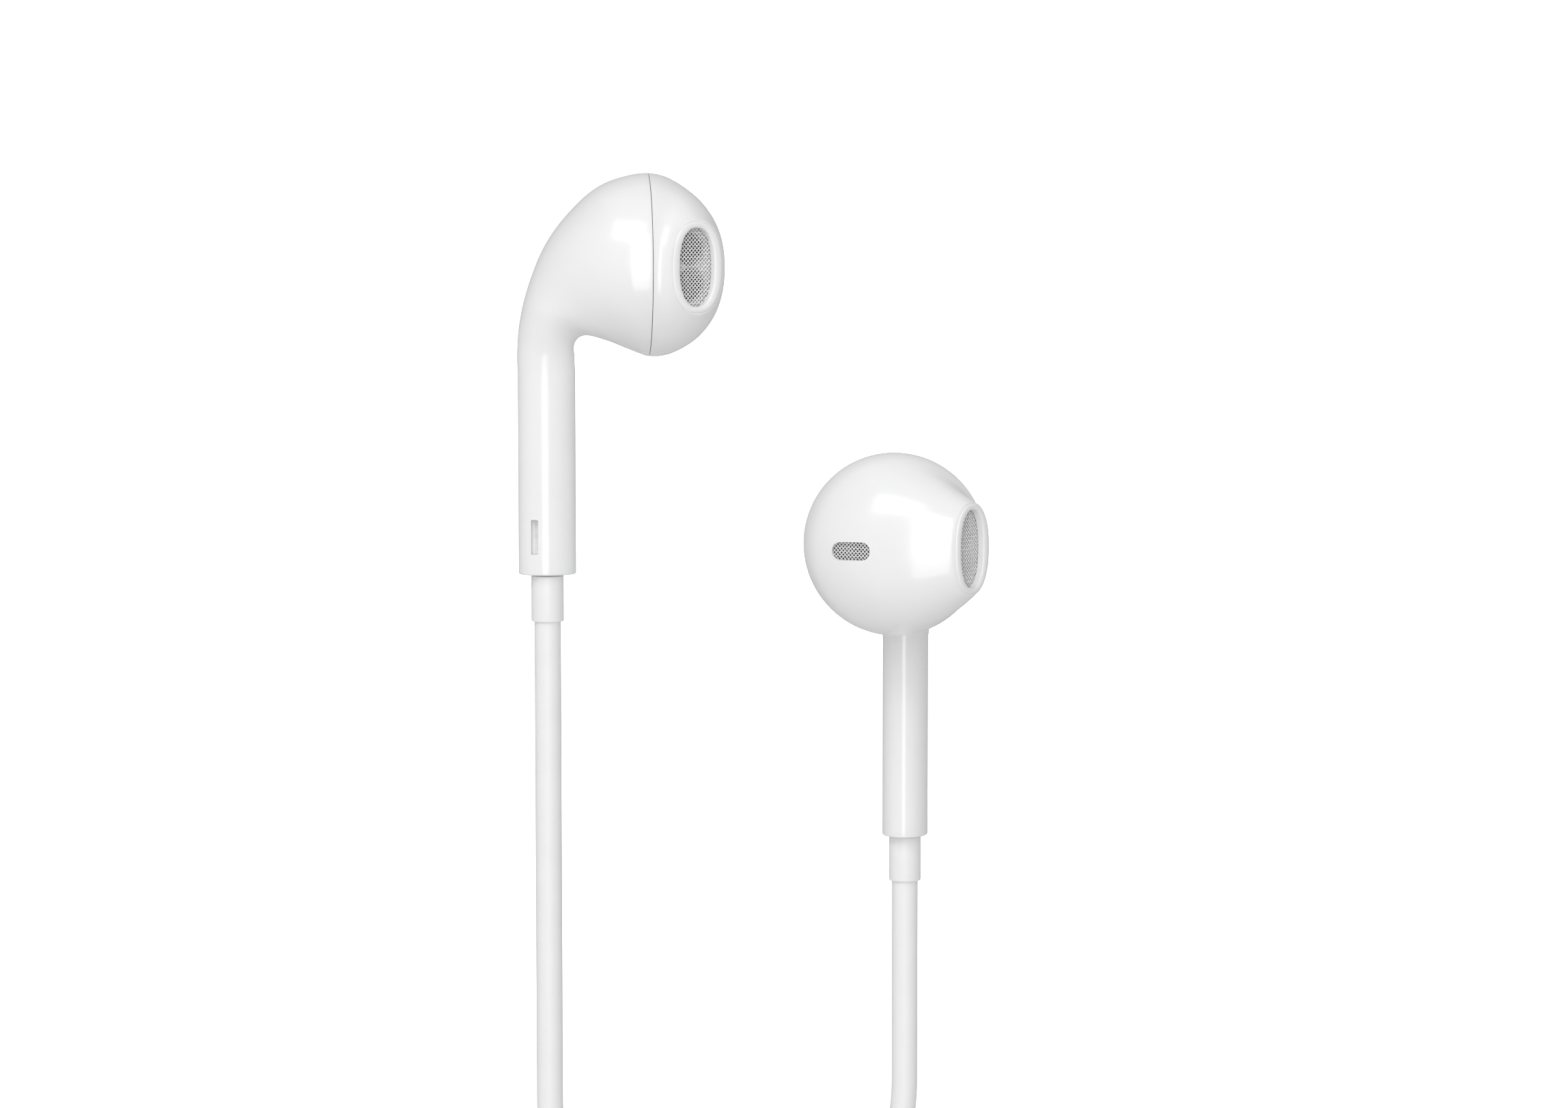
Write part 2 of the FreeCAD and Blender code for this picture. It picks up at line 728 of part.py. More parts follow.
def save_plug():
    """A stereo plug: bend relief, grip, and the pin's sleeve, ring and tip on insulated collars."""
    x = trunk_coil_middle - trunk_coil_radius + trunk_pitch
    y = trunk_out_back
    down = V(0, 0, -1)

    def at(drop):
        return V(x, y, -plug_top - drop)

    relief_top = trunk_diameter / 2 + fit
    relief = Part.makeCone(relief_top, plug_relief_diameter / 2, plug_relief_length, at(0), down)
    save("plug_relief", relief)
    pin_start = plug_relief_length + plug_grip_length
    grip = rod(at(plug_relief_length), down, plug_grip_diameter / 2, plug_grip_length)
    rims = [edge for edge in grip.Edges if edge.Curve.TypeId == "Part::GeomCircle"]
    save("plug_grip", grip.makeFillet(plug_grip_edge, rims))
    pin_radius = plug_pin_diameter / 2
    core_radius = plug_core_diameter / 2
    tip_start = pin_start + plug_pin_length - plug_tip_length
    ring_start = tip_start - plug_band - plug_ring_length
    sleeve_length = ring_start - plug_band - pin_start
    sleeve = rod(at(pin_start), down, pin_radius, sleeve_length)
    save("plug_sleeve_contact", sleeve.cut(rod(at(pin_start), down, core_radius, sleeve_length)))
    ring = rod(at(ring_start), down, pin_radius, plug_ring_length)
    save("plug_ring_contact", ring.cut(rod(at(ring_start), down, core_radius, plug_ring_length)))
    bands = []
    for start in (ring_start - plug_band, tip_start - plug_band):
        band = rod(at(start), down, pin_radius, plug_band)
        bands.append(band.cut(rod(at(start), down, core_radius, plug_band)))
    save("plug_insulators", Part.makeCompound(bands))
    waist = pin_radius - plug_tip_waist
    head = Part.makeCone(pin_radius, waist, plug_tip_length / 2, at(tip_start), down)
    nose_start = tip_start + plug_tip_length / 2
    nose = Part.makeCone(waist, pin_radius / 2, plug_tip_length / 2, at(nose_start), down)
    pin = rod(at(pin_start), down, core_radius, tip_start - pin_start)
    save("plug_tip_contact", head.fuse(nose).fuse(pin).removeSplitter())


save_buds()
save_branch("left", -1, left_stem, -relief_drop, left_back, left_out_back)
save_branch("right", 1, right_stem, -bud_step_down - relief_drop, right_back, right_out_back)
save_branch_tie()
save_trunk()
save_splitter()
save_plug()
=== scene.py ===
"""Wired earphones: the looks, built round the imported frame. Metres, +Z up."""
import json
import math

import bpy
from bpy.props import FloatProperty, FloatVectorProperty, IntProperty, PointerProperty
from mathutils import Matrix, Vector


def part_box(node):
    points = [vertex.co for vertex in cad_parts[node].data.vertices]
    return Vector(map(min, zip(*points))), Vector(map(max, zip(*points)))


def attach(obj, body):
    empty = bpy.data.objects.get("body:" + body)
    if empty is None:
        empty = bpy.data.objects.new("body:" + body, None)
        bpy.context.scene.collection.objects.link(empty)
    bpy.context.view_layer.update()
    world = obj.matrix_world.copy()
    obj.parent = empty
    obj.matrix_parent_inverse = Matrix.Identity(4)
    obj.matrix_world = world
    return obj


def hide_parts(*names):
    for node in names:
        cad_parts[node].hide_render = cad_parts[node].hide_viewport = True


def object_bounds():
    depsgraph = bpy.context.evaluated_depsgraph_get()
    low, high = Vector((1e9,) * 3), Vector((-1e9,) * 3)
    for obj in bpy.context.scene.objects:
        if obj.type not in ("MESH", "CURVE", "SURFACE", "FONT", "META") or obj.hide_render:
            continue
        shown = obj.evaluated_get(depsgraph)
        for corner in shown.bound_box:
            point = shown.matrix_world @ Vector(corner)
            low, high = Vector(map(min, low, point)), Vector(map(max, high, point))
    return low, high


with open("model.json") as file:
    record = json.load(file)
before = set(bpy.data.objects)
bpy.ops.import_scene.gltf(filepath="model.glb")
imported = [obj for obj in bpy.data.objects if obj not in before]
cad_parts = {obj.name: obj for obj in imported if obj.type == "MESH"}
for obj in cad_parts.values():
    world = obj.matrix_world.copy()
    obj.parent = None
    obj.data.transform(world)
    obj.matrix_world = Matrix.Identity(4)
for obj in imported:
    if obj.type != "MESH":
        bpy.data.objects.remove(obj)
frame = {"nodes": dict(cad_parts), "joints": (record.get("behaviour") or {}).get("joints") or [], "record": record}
cad_low, cad_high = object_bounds()

bl_info = {
    "name": "Wired earphones",
    "version": (1, 0, 0),
    "blender": (4, 5, 0),
    "location": "3D View > Sidebar > Earphones",
    "description": "Models a pair of stemmed earbuds on their cord, with a splitter and a stereo plug",
    "category": "Add Mesh",
}

MM = 0.001
ROOT = "earphones"
SIDES = ("left", "right")
RING_POINTS = 96
AXIS = 0.001  # a lathe profile's radius where it closes on its axis, in millimetres

# Edges of the shells, and the slot in the stem
SEAM_EDGE = 0.045 * MM
STEM_END_EDGE = 0.16 * MM
RIM_EDGE = 0.16 * MM
SLOT_EDGE = 0.05 * MM
SLOT_WIDTH = 0.62 * MM
SLOT_HEIGHT = 3.15 * MM
SLOT_DEPTH = 2.2 * MM
SLOT_BACK = 1.2 * MM
SLOT_ABOVE_END = 1.9 * MM

# Nozzle: its turn from straight ahead, the upright line it is fanned about, its outside, and its grille
NOZZLE_TURN = math.radians(62.0)
NOZZLE_SIDE = 9.7 * MM
NOZZLE_NEAR = 1.9 * MM
NOZZLE_BREADTH = 5.2 * MM
NOZZLE_HEIGHT = 8.1 * MM
NOZZLE_SQUARENESS = 2.35
FRONT_DROOP = 0.25 * MM
GRILLE_SEAT = 0.5 * MM
GRILLE_LAP = 0.4 * MM
WIRES_TO_MIDDLE = 2.2

# Plate with two round ports behind the nozzle's grille; the ports' cutter is in millimetres
PLATE_POINTS = 48
PLATE_GAP = 0.45 * MM
PLATE_THICKNESS = 0.7 * MM
PORT_OFFSET = 1.55 * MM
PORT_CUTTER = ((AXIS, -0.2), (1.66, -0.2), (1.56, 0.03), (1.46, 0.16), (1.45, 1.1), (AXIS, 1.1))

# Front vent; its cutter's steps say how far the outline is grown all round and its depth, in millimetres
VENT_LENGTH = 3.9 * MM
VENT_HEIGHT = 1.6 * MM
VENT_SIDE = -3.3 * MM
VENT_RISE = -0.2 * MM
VENT_TILT = 2.0
VENT_ARC_STEPS = 14
VENT_MESH_DEPTH = 0.35 * MM
VENT_CUTTER = ((0.2, -0.3), (0.1, -0.05), (0.03, 0.03), (0.0, 0.12), (0.0, 0.33), (0.3, 0.34), (0.3, 2.0))

# Strain relief under the stem: a rounded sleeve, then its neck and flange inside the stem, in millimetres
SLEEVE_RADIUS = 1.475
SLEEVE_TOP = 4.18
SLEEVE_EDGE = 0.12
SLEEVE_NECK = ((0.82, 4.18), (0.82, 5.45), (1.1, 5.5), (1.1, 6.05), (AXIS, 6.1))

# Cords, and the heights of their routes' points outside the coils
BRANCH_RADIUS = 1.2 * MM
BRANCH_TURNS = 2
BRANCH_RUN = {"left": (-45 * MM, -60 * MM, -74 * MM, -79 * MM), "right": (-66 * MM, -74 * MM, -79 * MM)}
BRANCH_INTO_COIL = -88 * MM
BRANCH_OUT_OF_COIL = -112 * MM
BRANCH_OVER_SPLITTER = -125 * MM
BRANCH_MOUTH = 1.4 * MM
TRUNK_RADIUS = 1.3 * MM
TRUNK_PITCH = 2.7 * MM
TRUNK_OUTER_TURNS = 4
TRUNK_INNER_TURNS = 5
TRUNK_UNDER_COIL = 14 * MM

# Splitter's sleeve
SPLITTER_WALL = 0.45 * MM
SPLITTER_EDGE = 0.2 * MM
SPLITTER_FOOT_WIDE = 1.85 * MM
SPLITTER_FOOT_DEEP = 1.8 * MM
SPLITTER_SQUARENESS = 2.2
SPLITTER_POINTS = 64
SPLITTER_STEPS = 24

# Plug's bend relief: a cone with grooves between its ribs, in millimetres
CONE_RADIUS = 1.36
CONE_FOOT_RADIUS = 1.8
CONE_LENGTH = 8.0
CONE_EDGE = 0.04 * MM
RIB_COUNT = 5
RIB_FIRST = 0.9
RIB_PITCH = 1.35
GROOVE = 0.16

# Plug's turned pieces, in millimetres down from each piece's top
GRIP_PROFILE = ((AXIS, 0.0), (1.9, 0.0), (2.35, 0.12), (2.75, 0.42), (2.98, 0.85), (3.08, 1.4), (3.1, 2.2),
                (3.1, 13.4), (3.1, 15.2), (3.02, 15.6), (2.82, 15.88), (2.5, 16.0), (AXIS, 16.0))
SLEEVE_CONTACT_PROFILE = ((0.8, 0.0), (1.75, 0.0), (1.75, 8.0), (1.68, 8.1), (0.8, 8.1))
RING_CONTACT_PROFILE = ((0.8, 0.0), (1.69, 0.0), (1.75, 0.07), (1.75, 2.13), (1.69, 2.2), (0.8, 2.2))
BANDS_PROFILE = ((0.8, 0.0), (1.735, 0.0), (1.735, 0.6), (0.8, 0.6),
                 (0.8, 2.8), (1.735, 2.8), (1.735, 3.4), (0.8, 3.4))
TIP_PROFILE = ((AXIS, 0.0), (0.78, 0.0), (0.78, 11.5), (1.7, 11.5), (1.75, 11.6), (1.75, 11.9),
               (1.45, 12.35), (1.4, 12.6), (1.52, 12.85), (1.45, 13.2), (1.15, 13.65), (0.7, 13.93),
               (0.3, 14.0), (AXIS, 14.0))

# Ties: gap round the cords, thickness, width, corner radius, and the depth of coil that each one holds
TIE_GAP = 0.05 * MM
TIE_THICKNESS = 0.5 * MM
TIE_WIDTH = 5.4 * MM
TIE_CORNER = 0.9 * MM
TIE_CORNER_STEPS = 6
TIE_SECTION_POINTS = 20
BRANCH_COIL_DEPTH = 2.4 * MM
TRUNK_COIL_DEPTH = 5.3 * MM

# Stage
FLOOR_BELOW = 0.01
WORLD_STRENGTH = 0.49
LIGHTS_TARGET = (0.008, 0.006, -0.03)
CAMERA_TARGET = (0.0076, 0.0064, -0.0261)
CAMERA_DISTANCE = 0.42
CAMERA_TILT = 5.5
FRAME_WIDTH = 0.1417

# Sections of the rear shell, fanned about a level line under the seam: degrees from the seam, then how much
# of the head is left in the back line, how much of the stem is reached in the under line, and how much of the
# head's width is left
REAR_SECTIONS = (
    (0, 1.0, 0.0, 1.0),
    (5, 0.985, 0.004, 0.995),
    (15, 0.9, 0.02, 0.955),
    (27, 0.685, 0.075, 0.84),
    (38, 0.5, 0.17, 0.67),
    (48, 0.335, 0.355, 0.49),
    (55, 0.24, 0.65, 0.365),
    (61, 0.175, 0.98, 0.26),
    (69, 0.105, 1.09, 0.145),
    (80, 0.035, 1.03, 0.04),
    (90, 0.0, 1.0, 0.0),
)

# Sections of the front shell, fanned about an upright line beside the nozzle: share of the nozzle's turn,
# then how much of the head is left in the far edge, the near edge and the height, and the oval's squareness
FRONT_SECTIONS = (
    (0.0, 1.0, 1.0, 1.0, 2.0),
    (0.1, 0.965, 0.9, 0.98, 2.0),
    (0.2, 0.89, 0.8, 0.905, 2.0),
    (0.4, 0.64, 0.6, 0.67, 2.0),
    (0.6, 0.365, 0.4, 0.42, 2.06),
    (0.8, 0.145, 0.2, 0.195, 2.15),
    (1.0, 0.0, 0.0, 0.0, 2.25),
)


class EarphoneSizes(bpy.types.PropertyGroup):
    """Sizes of the modelled pieces."""

    seam_radius: FloatProperty(name="Seam radius", description="Radius of the head at its seam",
                               default=8.24 * MM, unit="LENGTH")
    seam_forward: FloatProperty(name="Seam forward", description="From the stem's axis forward to the seam",
                                default=9.2 * MM, unit="LENGTH")
    seam_gap: FloatProperty(name="Seam gap", description="Width of the parting line between the shells",
                            default=0.05 * MM, unit="LENGTH")
    stem_depth: FloatProperty(name="Stem depth", description="The stem's oval from front to back",
                              default=5.2 * MM, unit="LENGTH")
    stem_width: FloatProperty(name="Stem width", description="The stem's oval from side to side",
                              default=4.2 * MM, unit="LENGTH")
    stem_length: FloatProperty(name="Stem length",
                               description="From the head's centre down to the stem's end",
                               default=27.9 * MM, unit="LENGTH")
    neck_drop: FloatProperty(name="Neck drop", description="From the head's centre down to the straight stem",
                             default=9.5 * MM, unit="LENGTH")
    wall: FloatProperty(name="Wall", description="Thickness of the moulded shells",
                        default=0.8 * MM, unit="LENGTH")
    mouth_height: FloatProperty(name="Mouth height", description="Height of the nozzle's opening",
                                default=7.0 * MM, unit="LENGTH")
    mouth_breadth: FloatProperty(name="Mouth breadth", description="Breadth of the nozzle's opening",
                                 default=3.6 * MM, unit="LENGTH")
    mouth_depth: FloatProperty(name="Mouth depth", description="From the nozzle's rim in to its grille",
                               default=0.7 * MM, unit="LENGTH")
    mesh_pitch: FloatProperty(name="Mesh pitch", description="Spacing of the grilles' woven wires",
                              default=0.26 * MM, unit="LENGTH")
    wire_radius: FloatProperty(name="Wire radius", description="Radius of the grilles' wires",
                               default=0.046 * MM, unit="LENGTH")
    coil_points: IntProperty(name="Points a turn", description="Control points in each turn of a cord's coil",
                             default=12, min=12)


class EarphoneColours(bpy.types.PropertyGroup):
    """Colours of the finishes."""

    shell: FloatVectorProperty(name="Shell", description="Glossy moulded shell", default=(0.85, 0.85, 0.855),
                               subtype="COLOR", min=0.0, max=1.0)
    jacket: FloatVectorProperty(name="Jacket", description="Soft cord jacket", default=(0.84, 0.84, 0.845),
                                subtype="COLOR", min=0.0, max=1.0)
    mesh: FloatVectorProperty(name="Mesh", description="Woven grille wire", default=(0.9, 0.9, 0.9),
                              subtype="COLOR", min=0.0, max=1.0)
    port: FloatVectorProperty(name="Port plate", description="Moulded plate behind the nozzle's grille",
                              default=(0.8, 0.8, 0.8), subtype="COLOR", min=0.0, max=1.0)


def sizes():
    return bpy.context.scene.earphone_sizes


def colours():
    return bpy.context.scene.earphone_colours


def centre(node):
    low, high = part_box(node)
    return (Vector(low) + Vector(high)) / 2


def bud_matrix(side):
    """From a bud's own frame to the pair's: forward, to the nozzle's side and up, from the stem's axis."""
    axis = next(j["axis"] for j in frame["joints"] if j["name"] == side + "_diaphragm_travel")
    forward = Vector(axis).normalized()
    turn = 1 if side == "right" else -1
    across = Vector((-forward.y, forward.x, 0)) * turn
    stem = centre(side + "_strain_relief")
    height = centre(side + "_seam_gasket").z
    matrix = Matrix((forward, across, (0, 0, 1))).transposed().to_4x4()
    matrix.translation = (stem.x, stem.y, height)
    return matrix


# ---------------------------------------------------------------- modelling helpers

def deselect():
    if bpy.context.mode != "OBJECT":
        bpy.ops.object.mode_set(mode="OBJECT")
    bpy.ops.object.select_all(action="DESELECT")


def pick(obj):
    deselect()
    obj.select_set(True)
    bpy.context.view_layer.objects.active = obj


def edit(obj):
    pick(obj)
    bpy.ops.object.mode_set(mode="EDIT")
    bpy.ops.mesh.select_all(action="SELECT")


def close_up(obj):
    """Merges the seams and poles, and turns all faces outwards."""
    edit(obj)
    bpy.ops.mesh.remove_doubles(threshold=1e-7)
    bpy.ops.mesh.delete_loose()
    bpy.ops.mesh.select_all(action="SELECT")
    bpy.ops.mesh.normals_make_consistent(inside=False)
    bpy.ops.object.mode_set(mode="OBJECT")


def smooth(obj, degrees):
    pick(obj)
    bpy.ops.object.shade_smooth_by_angle(angle=math.radians(degrees))


def apply_modifiers(obj):
    pick(obj)
    for modifier in list(obj.modifiers):
        bpy.ops.object.modifier_apply(modifier=modifier.name)


def bevel(obj, width):
    modifier = obj.modifiers.new("edge", "BEVEL")
    modifier.width = width
    modifier.segments = 2
    modifier.limit_method = "ANGLE"
    modifier.angle_limit = math.radians(40)
    apply_modifiers(obj)


def cut(obj, cutter):
    modifier = obj.modifiers.new("cut", "BOOLEAN")
    modifier.object = cutter
    modifier.operation = "DIFFERENCE"
    modifier.solver = "EXACT"
    apply_modifiers(obj)
    bpy.data.objects.remove(cutter, do_unlink=True)


def skin(name, rings, loop=False):
    """A closed skin through rings of points: a grid bent to them, with its edges merged."""
    rings = [ring + ring[:1] for ring in rings]
    if loop:
        rings = rings + rings[:1]
    across = len(rings[0])
    deselect()
    bpy.ops.mesh.primitive_grid_add(x_subdivisions=across - 1, y_subdivisions=len(rings) - 1, size=1)
    obj = bpy.context.object
    obj.name = name
    obj.data.name = name
    flat = [value for ring in rings for point in ring for value in point]
    obj.data.vertices.foreach_set("co", flat)
    close_up(obj)
    return obj


def oval(place, near, far, half_height, squareness=2.0, count=RING_POINTS):
    """Points of an oval between two distances from a hinge line; squareness 2 is an ellipse."""
    middle = (near + far) / 2
    half = (far - near) / 2
    points = []
    for step in range(count):
        angle = math.tau * step / count
        reach = math.copysign(abs(math.cos(angle)) ** (2 / squareness), math.cos(angle))
        rise = math.copysign(abs(math.sin(angle)) ** (2 / squareness), math.sin(angle))
        points.append(place(middle + half * reach, half_height * rise))
    return points


def rounded(edge, steps=4):
    """A rounded edge from its lip to the full size: how far in each step lies, and how far from the end."""
    angles = [math.pi / 2 * step / steps for step in range(steps + 1)]
    return [(edge * (1 - math.sin(angle)), edge * (1 - math.cos(angle))) for angle in angles]


def slope(rows, index, column):
    """A column's slope at a row of a table: level at the first row, and from the rows round it after that."""
    if index == 0:
        return 0.0
    before, after = rows[index - 1], rows[min(index + 1, len(rows) - 1)]
    return (after[column] - before[column]) / (after[0] - before[0])


def between(rows, at):
    """A row of values at a place in a table, on smooth curves that start level."""
    index = max(i for i in range(len(rows) - 1) if rows[i][0] <= at or i == 0)
    first, second = rows[index], rows[index + 1]
    gap = second[0] - first[0]
    share = (at - first[0]) / gap
    values = []
    for column in range(1, len(first)):
        start, end = slope(rows, index, column), slope(rows, index + 1, column)
        cube, square = share ** 3, share ** 2
        value = (2 * cube - 3 * square + 1) * first[column] + (3 * square - 2 * cube) * second[column]
        value += gap * ((cube - 2 * square + share) * start + (cube - square) * end)
        values.append(value)
    return values


def turned_piece(name, profile, start, axis, count=64):
    """A lathed piece: a circle taken through a profile's radii and distances along, in millimetres."""
    deselect()
    radius, along = profile[0]
    bpy.ops.mesh.primitive_circle_add(vertices=count, radius=radius, fill_type="NOTHING",
                                      location=(0, 0, along))
    obj = bpy.context.object
    obj.name = name
    obj.data.name = name
    edit(obj)
    for next_radius, next_along in profile[1:]:
        bpy.ops.mesh.extrude_edges_move(TRANSFORM_OT_translate={"value": (0, 0, next_along - along)})
        ratio = next_radius / radius
        bpy.ops.transform.resize(value=(ratio, ratio, 1), center_override=(0, 0, next_along))
        radius, along = next_radius, next_along
    pick(obj)
    bpy.ops.object.transform_apply(location=True, rotation=True, scale=True)
    turn = Vector((0, 0, 1)).rotation_difference(Vector(axis)).to_matrix().to_4x4()
    obj.data.transform(Matrix.Translation(start) @ turn @ Matrix.Scale(MM, 4))
    close_up(obj)
    return obj


def finish_piece(obj, slot, *nodes, smooth_angle=35):
    """Gives a piece its slot's finish, sets it on the root body and hides the nodes it replaces."""
    obj.data.materials.clear()
    obj.data.materials.append(FINISH[slot])
    if obj.type == "MESH":
        smooth(obj, smooth_angle)
    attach(obj, ROOT)
    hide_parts(*nodes)


# ---------------------------------------------------------------- finishes

def new_material(name, colour, roughness, metallic=0.0, coat=0.0):
    material = bpy.data.materials.new(name)
    material.use_nodes = True
    shader = material.node_tree.nodes["Principled BSDF"]
    shader.inputs["Base Color"].default_value = (*colour, 1)
    shader.inputs["Roughness"].default_value = roughness
    shader.inputs["Metallic"].default_value = metallic
    shader.inputs["Coat Weight"].default_value = coat
    shader.inputs["Coat Roughness"].default_value = 0.1
    return material


def noise(material, scale, detail=2.0, stretch=(1, 1, 1)):
    """A noise on the piece's own coordinates, in cycles a millimetre."""
    nodes, links = material.node_tree.nodes, material.node_tree.links
    place = nodes.new("ShaderNodeTexCoord")
    mapping = nodes.new("ShaderNodeMapping")
    mapping.inputs["Scale"].default_value = stretch
    texture = nodes.new("ShaderNodeTexNoise")
    texture.inputs["Scale"].default_value = scale / MM
    texture.inputs["Detail"].default_value = detail
    links.new(place.outputs["Object"], mapping.inputs["Vector"])
    links.new(mapping.outputs["Vector"], texture.inputs["Vector"])
    return texture


def vary_colour(material, texture, colour, amount):
    """Mixes the base colour a little lighter and darker with a noise."""
    nodes, links = material.node_tree.nodes, material.node_tree.links
    ramp = nodes.new("ShaderNodeValToRGB")
    ramp.color_ramp.elements[0].position = 0.3
    ramp.color_ramp.elements[1].position = 0.7
    ramp.color_ramp.elements[0].color = (*[value * (1 - amount) for value in colour], 1)
    ramp.color_ramp.elements[1].color = (*[min(1, value * (1 + amount)) for value in colour], 1)
    links.new(texture.outputs["Fac"], ramp.inputs["Fac"])
    links.new(ramp.outputs["Color"], nodes["Principled BSDF"].inputs["Base Color"])


def vary_roughness(material, texture, low, high):
    nodes, links = material.node_tree.nodes, material.node_tree.links
    span = nodes.new("ShaderNodeMapRange")
    span.inputs["To Min"].default_value = low
    span.inputs["To Max"].default_value = high
    links.new(texture.outputs["Fac"], span.inputs["Value"])
    links.new(span.outputs["Result"], nodes["Principled BSDF"].inputs["Roughness"])


def grain(material, texture, strength, depth):
    """Raises the surface by a noise, to a depth in millimetres."""
    nodes, links = material.node_tree.nodes, material.node_tree.links
    bump = nodes.new("ShaderNodeBump")
    bump.inputs["Strength"].default_value = strength
    bump.inputs["Distance"].default_value = depth * MM
    links.new(texture.outputs["Fac"], bump.inputs["Height"])
    links.new(bump.outputs["Normal"], nodes["Principled BSDF"].inputs["Normal"])


def plastic(name, colour, roughness, grain_scale, grain_depth, amount=0.02, coat=0.0):
    """A moulded finish; its grain's scale is in cycles a millimetre and its depth in millimetres."""
    material = new_material(name, colour, roughness, coat=coat)
    broad = noise(material, 0.35)
    vary_colour(material, broad, colour, amount)
    vary_roughness(material, broad, roughness * 0.85, roughness * 1.15)
    grain(material, noise(material, grain_scale, 3.0), 0.5, grain_depth)
    return material


def metal(name, colour, roughness, stretch=(1, 1, 1), metallic=1.0):
    """A metal finish with faint streaks along its stretch."""
    material = new_material(name, colour, roughness, metallic)
    streaks = noise(material, 3.0, 3.0, stretch)
    vary_colour(material, streaks, colour, 0.06)
    vary_roughness(material, streaks, roughness * 0.7, roughness * 1.4)
    grain(material, streaks, 0.3, 0.004)
    return material


def make_finishes():
    """All finishes by material slot."""
    tint = colours()
    jacket = tuple(tint.jacket)
    plastics = {
        "glossy_shell": (tuple(tint.shell), 0.22, 1.2, 0.0006, 0.006, 0.3),
        "soft_jacket": (jacket, 0.42, 7.0, 0.004, 0.01),
        "satin_grip": (jacket, 0.3, 9.0, 0.003),
        "port_plastic": (tuple(tint.port), 0.45, 5.0, 0.004),
        "film": ((0.75, 0.76, 0.8), 0.2, 3.0, 0.002),
        "felt": ((0.09, 0.09, 0.1), 0.95, 14.0, 0.05, 0.3),
        "board": ((0.05, 0.22, 0.1), 0.35, 6.0, 0.006, 0.1),
        "gasket": ((0.5, 0.5, 0.5), 0.9, 12.0, 0.03, 0.1),
        "tie": ((0.8, 0.8, 0.81), 0.55, 8.0, 0.008, 0.03),
        "insulator": ((0.82, 0.82, 0.82), 0.4, 6.0, 0.003),
    }
    metals = {
        "steel_mesh": (tuple(tint.mesh), 0.4, (1, 1, 1), 0.35),
        "plated_steel": ((0.62, 0.62, 0.64), 0.25),
        "magnet": ((0.5, 0.5, 0.53), 0.38),
        "copper": ((0.72, 0.36, 0.18), 0.3),
        "nickel": ((0.78, 0.75, 0.69), 0.16, (1, 1, 12)),
    }
    finishes = {slot: plastic(slot, *row) for slot, row in plastics.items()}
    finishes.update({slot: metal(slot, *row) for slot, row in metals.items()})
    return finishes


FINISH = {}


# ---------------------------------------------------------------- forms of the shells

def rear_ring(matrix, degrees, inset, forward=0.0):
    """A ring of the rear shell's fan, shrunk by an inset and moved forward."""
    s = sizes()
    back, under, width = between(REAR_SECTIONS, degrees)
    turn = math.radians(degrees)
    head_far = s.neck_drop + s.seam_radius
    head_near = s.neck_drop - s.seam_radius
    stem_far = s.seam_forward + s.stem_depth / 2
    stem_near = s.seam_forward - s.stem_depth / 2
    far = stem_far + (head_far - stem_far) * back - inset
    near = head_near + (stem_near - head_near) * under + inset
    half = s.stem_width / 2 + (s.seam_radius - s.stem_width / 2) * width - inset

    def place(reach, side):
        x = s.seam_forward - reach * math.sin(turn) + forward
        return matrix @ Vector((x, side, reach * math.cos(turn) - s.neck_drop))

    return oval(place, near, far, half)


def stem_ring(matrix, height, inset):
    s = sizes()

    def place(reach, side):
        return matrix @ Vector((-reach, side, height))

    half = s.stem_depth / 2 - inset
    return oval(place, -half, half, s.stem_width / 2 - inset)


def front_ring(matrix, share, inset, forward=0.0):
    """A ring of the front shell's fan, at a share of the nozzle's turn."""
    s = sizes()
    far_left, near_left, height_left, squareness = between(FRONT_SECTIONS, share)
    nozzle_far = NOZZLE_NEAR + NOZZLE_BREADTH
    far = nozzle_far + (NOZZLE_SIDE + s.seam_radius - nozzle_far) * far_left - inset
    near = NOZZLE_NEAR + (NOZZLE_SIDE - s.seam_radius - NOZZLE_NEAR) * near_left + inset
    half = NOZZLE_HEIGHT / 2 + (s.seam_radius - NOZZLE_HEIGHT / 2) * height_left - inset
    turn = NOZZLE_TURN * share
    droop = FRONT_DROOP * math.sin(math.pi * share)

    def place(reach, height):
        x = s.seam_forward + reach * math.sin(turn) + forward
        return matrix @ Vector((x, NOZZLE_SIDE - reach * math.cos(turn), height - droop))

    return oval(place, near, far, half, squareness)


def nozzle_axes():
    """The middle of the nozzle's rim, the way out of it and the way along its breadth, in the bud's frame."""
    reach = NOZZLE_NEAR + NOZZLE_BREADTH / 2
    middle = Vector((sizes().seam_forward + reach * math.sin(NOZZLE_TURN),
                     NOZZLE_SIDE - reach * math.cos(NOZZLE_TURN), 0))
    out = Vector((math.cos(NOZZLE_TURN), math.sin(NOZZLE_TURN), 0))
    along = Vector((math.sin(NOZZLE_TURN), -math.cos(NOZZLE_TURN), 0))
    return middle, out, along


def nozzle_ring(matrix, breadth, height, depth, count=RING_POINTS):
    """An oval square to the nozzle's axis, at a depth under its rim."""
    middle, out, along = nozzle_axes()

    def place(reach, rise):
        return matrix @ (middle - out * depth + along * reach + Vector((0, 0, rise)))

    return oval(place, -breadth / 2, breadth / 2, height / 2, NOZZLE_SQUARENESS, count)


